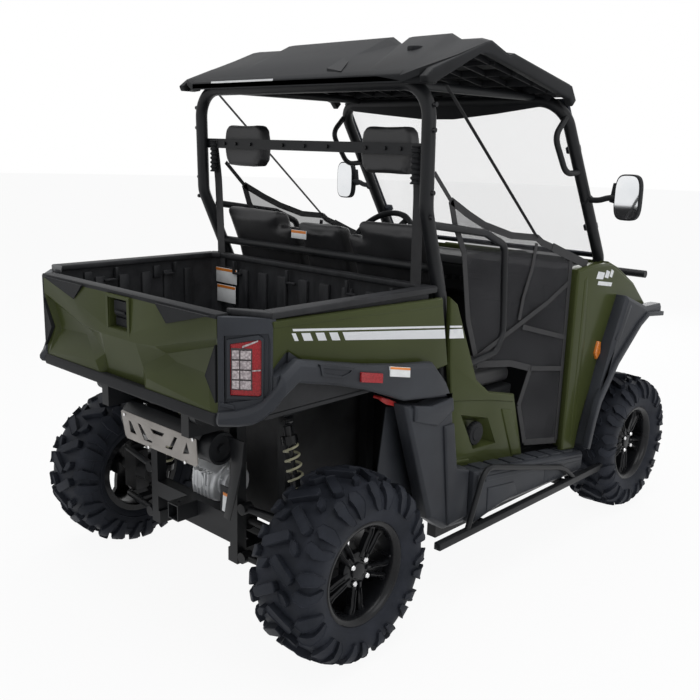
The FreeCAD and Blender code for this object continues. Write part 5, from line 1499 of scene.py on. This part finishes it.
block(mesh, (-5, 75), (1311, 1321), "x", 415, 413.4, kind=1)
set_in(mesh, "bar_label", card, "chassis", finishes=(amber_card,))
buckle_red = Finish("buckle_red", Roughness=0.35)
speck = buckle_red.noise(50.0)
buckle_red.mottle(speck, (0.3, (0.45, 0.02, 0.02)), (0.7, (0.60, 0.04, 0.03)), (0.3, 0.2))
mesh = bmesh.new()
for side in (-1, 1):
    prism(
        mesh, ((700, 838), (728, 858), (712, 884), (684, 864)), "y", side * 150 - 14, side * 150 + 14,
        soft=4,
    )
set_in(mesh, "belt_buckles", moulded, "chassis")
mesh = bmesh.new()
for side in (-1, 1):
    prism(
        mesh, ((692, 868), (706, 878), (708, 886), (690, 873)), "y", side * 150 - 9, side * 150 + 9,
        soft=2,
    )
set_in(mesh, "buckle_buttons", buckle_red, "chassis")

# Dashboard: a moulded black panel across the cabin, with a hooded display before the driver, four
# slatted vents, a glove door on the right and a row of switches in the middle.
mesh = bmesh.new()
dash = ((1330, 1120), (1350, 1163), (1579, 1163), (1592, 960), (1480, 960), (1380, 1000))
prism(mesh, dash, "y", -559, 559, soft=8, segments=3)
outline = ((1336, 1130), (1352, 1162), (1440, 1163), (1440, 1180), (1372, 1184), (1340, 1172))
prism(mesh, outline, "y", 200, 420, soft=8, segments=3)
prism(mesh, ((1334, 1124), (1374, 1012), (1366, 1008), (1326, 1116)), "y", -500, -180, soft=3)
prism(mesh, ((1330, 1126), (1356, 1160), (1350, 1166), (1322, 1134)), "y", -120, 120, soft=4)
DASH_FACE, DASH_LOW, DASH_LEAN = 1370, 1020, 0.4
for across in (-530, 500, -150, 150):
    for level in (1034, 1052, 1070, 1088):
        lean = DASH_FACE - (level - DASH_LOW) * DASH_LEAN
        slat = ((lean, level), (lean - 8, level), (lean - 12, level + 8), (lean - 4, level + 8))
        prism(mesh, slat, "y", across - 26, across + 26, soft=1)
set_in(mesh, "dash_panel", moulded, "chassis", "dashboard")
display = Finish("display", Roughness=0.1, Coat_Weight=0.6)
sheen = display.noise(20.0)
display.mottle(sheen, (0.3, (0.01, 0.012, 0.015)), (0.7, (0.02, 0.024, 0.03)), (0.08, 0.1))
mesh = bmesh.new()
prism(mesh, ((1333, 1140), (1342, 1168), (1340, 1170), (1330, 1141)), "y", 225, 395, soft=2)
set_in(mesh, "dash_display", display, "chassis")
mesh = bmesh.new()
for spot in range(5):
    prism(
        mesh, ((1345, 1075), (1352, 1056), (1346, 1053), (1338, 1072)), "y", -90 + spot * 44,
        -62 + spot * 44, soft=2,
    )
set_in(mesh, "dash_switches", gloss, "chassis")

# Steering wheel: a padded rim with three spokes and a domed hub, tilted towards the driver on the
# left. The rim has six thicker grips.
RIM_RADIUS, RIM_THICK, WHEEL_LEAN = 172, 13.5, -52.4
mesh = bmesh.new()
rings = []
for step in range(72):
    outward = Vector((math.cos(math.tau * step / 72), math.sin(math.tau * step / 72), 0))
    grip = RIM_THICK + (1.5 if step % 24 in (4, 5, 19, 20) else 0)
    rings.append(hoop(mesh, outward * RIM_RADIUS / 1000, outward, Vector((0, 0, 1)), grip / 1000, 16))
lofted(mesh, rings, closed=True)
for angle in (math.radians(a) for a in (90, 210, 330)):
    before = set(mesh.verts)
    made = bmesh.ops.create_cube(mesh, size=1)["verts"]
    bmesh.ops.scale(mesh, vec=(0.13, 0.034, 0.012), verts=made)
    slide(mesh, made, (0.103, 0, -0.004))
    bevelled(mesh, list({e for v in made for e in v.link_edges}), 0.004, 2)
    swing(mesh, [v for v in mesh.verts if v not in before], angle, "Z")
bmesh.ops.create_cone(mesh, cap_ends=True, segments=32, radius1=0.05, radius2=0.04, depth=0.04)
dome = bmesh.ops.create_uvsphere(mesh, u_segments=24, v_segments=12, radius=0.038)["verts"]
bmesh.ops.scale(mesh, vec=(1, 1, 0.4), verts=dome)
slide(mesh, dome, (0, 0, 0.019))
swing(mesh, mesh.verts, math.radians(WHEEL_LEAN), "Y")
slide(mesh, mesh.verts, place(1190, 300, 1200))
bmesh.ops.recalc_face_normals(mesh, faces=mesh.faces)
set_in(mesh, "hand_wheel_rim", moulded, "hand_wheel", "steering_wheel")

# Door nets: dark mesh cloth stretched between the posts and the sill on each side, with sewn hems,
# four seams and thin straps up to the roof. Each is one sheet with a few folds where it is tied.
netting = Finish("netting", Roughness=0.8, Specular_IOR_Level=0.1)
axes = netting.axes()
WEAVE = 0.0016
warp, weft = (netting.math("PINGPONG", axes[spot], WEAVE) for spot in (0, 2))
thread = netting.math("MINIMUM", warp, weft)
netting.mottle(netting.noise(6.0), (0.3, (0.030, 0.030, 0.032)), (0.7, (0.055, 0.055, 0.058)), (0.7, 0.2))
CLEARER_FROM = 1.27
netting.plug(Alpha=0.66 + (thread < 0.0006) * 0.04 - (axes[2] > CLEARER_FROM) * 0.30)
NET = (
    (582, 1466), (693, 1413), (792, 1372), (947, 1327), (1104, 1311), (1135, 1291), (1330, 1225),
    (1330, 430),
    (1116, 464), (1063, 634), (1121, 780), (996, 818), (799, 842), (722, 1026), (690, 1196), (674, 1281),
    (611, 1385),
)


def flat_area(outline):
    """Area of an outline, in square metres."""
    turns = zip(outline, outline[1:] + outline[:1])
    return abs(sum(a[0] * b[1] - b[0] * a[1] for a, b in turns)) / 2e6


def humped(share):
    """A curve that starts and ends at nought, with its top at one half."""
    return math.sin(min(max(share, 0), 1) * math.pi)


def net_out(x):
    """How far out the net hangs: inside the hip bar at its back edge, over the sill at its front."""
    return 560 + 66 * min(max((x - 800) / 530, 0), 1)


def net_band(mesh, side, line, proud, wide, thick):
    """Webbing sewn flat on the net along a line of points."""
    for a, b in zip(line, line[1:]):
        ends = [(x, side * (net_out(x) + proud), z) for x, z in (a, b)]
        strap(mesh, ends, wide, thick, facing=(b[1] - a[1], 0, a[0] - b[0]))


NET_GRID = 30
SEAMS = (
    ((1098, 1290), (1082, 1193), (1041, 1078), (1025, 991)), ((775, 866), (1195, 1045), (1330, 1120)),
    ((1050, 960), (1330, 884)), ((1121, 780), (1330, 750)),
)
for side, hand in ((-1, "right"), (1, "left")):
    mesh = bmesh.new()
    ring = [mesh.verts.new(place(x, side * 560, z)) for x, z in NET]
    edges = [mesh.edges.new(two) for two in zip(ring, ring[1:] + ring[:1])]
    bmesh.ops.triangle_fill(mesh, edges=edges, use_beauty=True)
    for cut in range(420, 1330, NET_GRID):
        bmesh.ops.bisect_plane(mesh, geom=whole(mesh), plane_co=place(cut, 0, 0), plane_no=(1, 0, 0))
    for cut in range(450, 1560, NET_GRID):
        bmesh.ops.bisect_plane(mesh, geom=whole(mesh), plane_co=place(0, 0, cut), plane_no=(0, 0, 1))
    for vertex in mesh.verts:
        x, z = (vertex.co.x - REAR_AXLE) * 1000, vertex.co.z * 1000
        slack = humped((x - 582) / 748) * humped((z - 430) / 900)
        fold = math.sin(x * 0.021 + z * 0.013) * math.sin(x * 0.007 - z * 0.017)
        vertex.co.y = side * (net_out(x) / 1000 + slack * (0.004 * fold - 0.006))
    bmesh.ops.solidify(mesh, geom=mesh.faces, thickness=0.0008)
    cloth = set_in(mesh, f"{hand}_net", netting, "chassis", *(("door_nets",) if side < 0 else ()))
    mesh = bmesh.new()
    net_band(mesh, side, NET + NET[:1], 0, 26, 3.2)
    for line in SEAMS:
        net_band(mesh, side, line, 3, 20, 2.4)
    strap(mesh, ((469, side * 600, 1846), (1104, side * 598, 1311)), 14, 2, facing=(0, 1, 0))
    strap(mesh, ((481, side * 560, 1562), (582, side * 560, 1466)), 16, 2.4, facing=(1, 0, 1))
    strap(
        mesh, ((1200, side * 612, 1270), (1330, side * 628, 1222), (1441, side * 640, 1184)), 34, 3,
        facing=(0.4, 0, 1),
    )
    hem = set_in(mesh, f"{hand}_net_hems", webbing, "chassis")
    flat_area(NET)

# Dampers: a pale yellow coil spring round each dark damper body, held between two collars, with a
# round eye at both ends. They lean in from the arms to the frame's towers.
spring_paint = Finish("spring_paint", Roughness=0.35, Coat_Weight=0.3)
dust = spring_paint.noise(30.0)
spring_paint.mottle(dust, (0.3, (0.66, 0.63, 0.42)), (0.75, (0.52, 0.50, 0.34)), (0.3, 0.3))
# Where each step of the damper starts and ends, as shares of its length, and how thick it is
DAMPER_STEPS = (
    (0.06, 0.20, 0.017), (0.18, 0.24, 0.031), (0.24, 0.60, 0.0205), (0.60, 0.88, 0.008),
    (0.82, 0.88, 0.030), (0.88, 0.95, 0.016),
)
COIL_TURNS = 8
COIL_STEPS = COIL_TURNS * 20
COIL_START, COIL_LONG, COIL_RADIUS, WIRE_RADIUS = 0.235, 0.59, 0.0255, 0.0045
mesh = bmesh.new()
coils = bmesh.new()
for near_x in (41, FRONT_AXLE - 41):
    for side in (-1, 1):
        foot = place(near_x, side * 430, 266)
        head = place(near_x, side * 310, 724)
        lean = (head - foot).normalized()
        right = lean.orthogonal().normalized()
        ahead = lean.cross(right)
        long = (head - foot).length
        for start, end, radius in DAMPER_STEPS:
            ends = [foot + lean * long * share for share in (start, end)]
            lofted(mesh, [hoop(mesh, spot, right, ahead, radius, 24) for spot in ends])
        for end_at in (foot, head):
            made = bmesh.ops.create_cone(
                mesh, cap_ends=True, segments=24, radius1=0.018, radius2=0.018, depth=0.036,
            )["verts"]
            swing(mesh, made, math.pi / 2, "Y")
            slide(mesh, made, end_at)
        line = []
        for step in range(COIL_STEPS + 1):
            share = step / COIL_STEPS
            angle = math.tau * COIL_TURNS * share
            outward = right * math.cos(angle) + ahead * math.sin(angle)
            line.append(foot + lean * long * (COIL_START + COIL_LONG * share) + outward * COIL_RADIUS)
        rings = []
        for spot, point in enumerate(line):
            ahead_of = (line[min(spot + 1, COIL_STEPS)] - line[max(spot - 1, 0)]).normalized()
            outward = (point - foot - lean * lean.dot(point - foot)).normalized()
            rings.append(
                hoop(coils, point, outward, ahead_of.cross(outward).normalized(), WIRE_RADIUS, 10)
            )
        lofted(coils, rings)
bmesh.ops.recalc_face_normals(mesh, faces=mesh.faces)
set_in(mesh, "damper_bodies", gloss, "chassis", "shock_absorbers")
set_in(coils, "coil_springs", spring_paint, "chassis")

# Heat shield: a pale metal plate with slanted slots, hung under a black folded bracket that is
# bolted over the muffler.
brushed = Finish("brushed_plate", Metallic=0.35, Roughness=0.4)
brushed.mottle(brushed.noise(12.0), (0.3, (0.27, 0.25, 0.23)), (0.75, (0.36, 0.335, 0.31)))
brushed.plug(Roughness=0.36 + brushed.bands(60.0, 6.0, 3.0) * 0.15)
mesh = bmesh.new()
shield = ((-207, 696), (-216, 612), (-206, 600), (200, 597), (212, 606), (236, 690), (228, 696))
slots = (
    ((188, 667), (174, 665), (140, 624), (178, 625)),
    ((131, 670), (114, 669), (69, 627), (41, 624), (47, 617), (93, 617)),
    ((54, 669), (-30, 671), (-17, 657), (36, 655)),
    ((-87, 674), (-104, 674), (-73, 623), (-36, 622), (-39, 631), (-59, 631)),
    ((-156, 673), (-171, 636), (-135, 627)),
)
pierced(mesh, shield, slots, "x", -264.5, -260.5, soft=0.6)
set_in(mesh, "shield_plate", brushed, "chassis", "muffler_shield")
mesh = bmesh.new()
prism(
    mesh, ((-262, 696), (-259, 696), (-232, 727), (-205, 728), (-205, 731), (-234, 730)), "y", -222, 226,
    soft=0.8,
)
set_in(mesh, "shield_bracket", coat, "chassis")
mesh = bmesh.new()
for y, z in ((61, 599), (-151, 601), (210, 684), (-195, 692)):
    round_bar(mesh, "x", (y, z), -269, -264, 6, segments=6)
for y in (141, -117):
    round_bar(mesh, "z", (-222, y), 729, 734, 8, segments=6)
set_in(mesh, "shield_bolts", nut_chrome, "chassis")

# Muffler: a black can that lies across the frame behind the engine, with rolled rings round it and
# a recessed plate at each end.
mesh = bmesh.new()
CAN = (
    (-262, 0), (-262, 14), (-250, 14), (-250, 44), (-259, 47), (-259, 55), (-252, 57), (-246, 56),
    (-60, 56),
    (-56, 57.5), (-48, 57.5), (-44, 56), (44, 56), (48, 57.5), (56, 57.5), (60, 56), (246, 56), (252, 57),
    (259, 55), (259, 47), (250, 44), (250, 0),
)
spun(mesh, CAN, 48, closed=False)
slide(mesh, mesh.verts, place(-196, 0, 660))
set_in(mesh, "muffler_can", coat, "chassis", "muffler")

# Side steps: a square steel rail beside each sill, carried on two arms, with its front end turned up
# and a bent round hoop welded on it. Powder coated as the frame is.
mesh = bmesh.new()
block(mesh, (-728, -700), (258, 285), "x", 398, 1560, soft=3)
pipe(mesh, rounded(((1552, -714, 271), (1586, -714, 273), (1622, -714, 296)), 18), 12.5)
pipe(mesh, rounded(((576, -714, 276), (672, -714, 500), (1258, -714, 348), (1356, -714, 272)), 55), 11)
for along in (700, 1300):
    block(mesh, (along - 15, along + 15), (252, 276), "y", -712, -598.5, soft=2)
both_sides(mesh)
set_in(mesh, "step_rails", coat, "chassis", "side_steps")

# Frame tab: a coated steel tab behind the axle case with a blank card and its amber band, and the
# bent guard plate that stands beside the right damper.
mesh = bmesh.new()
block(mesh, (-160, -238), (372, 488), "x", -128, -124, soft=1)
prism(mesh, ((-171, 395), (-211, 391), (-224, 463), (-178, 466)), "x", -129, -127.5, kind=1)
prism(mesh, ((-178, 455), (-222, 452), (-224, 463), (-178, 466)), "x", -130, -128.5, kind=2)
outline = (
    (-262, 700), (-342, 700), (-334, 620), (-306, 520), (-268, 400), (-236, 404), (-262, 520),
    (-280, 620),
)
prism(mesh, outline, "x", -174, -168, soft=1.5)
set_in(mesh, "frame_label", coat, "chassis", finishes=(card, amber_card))
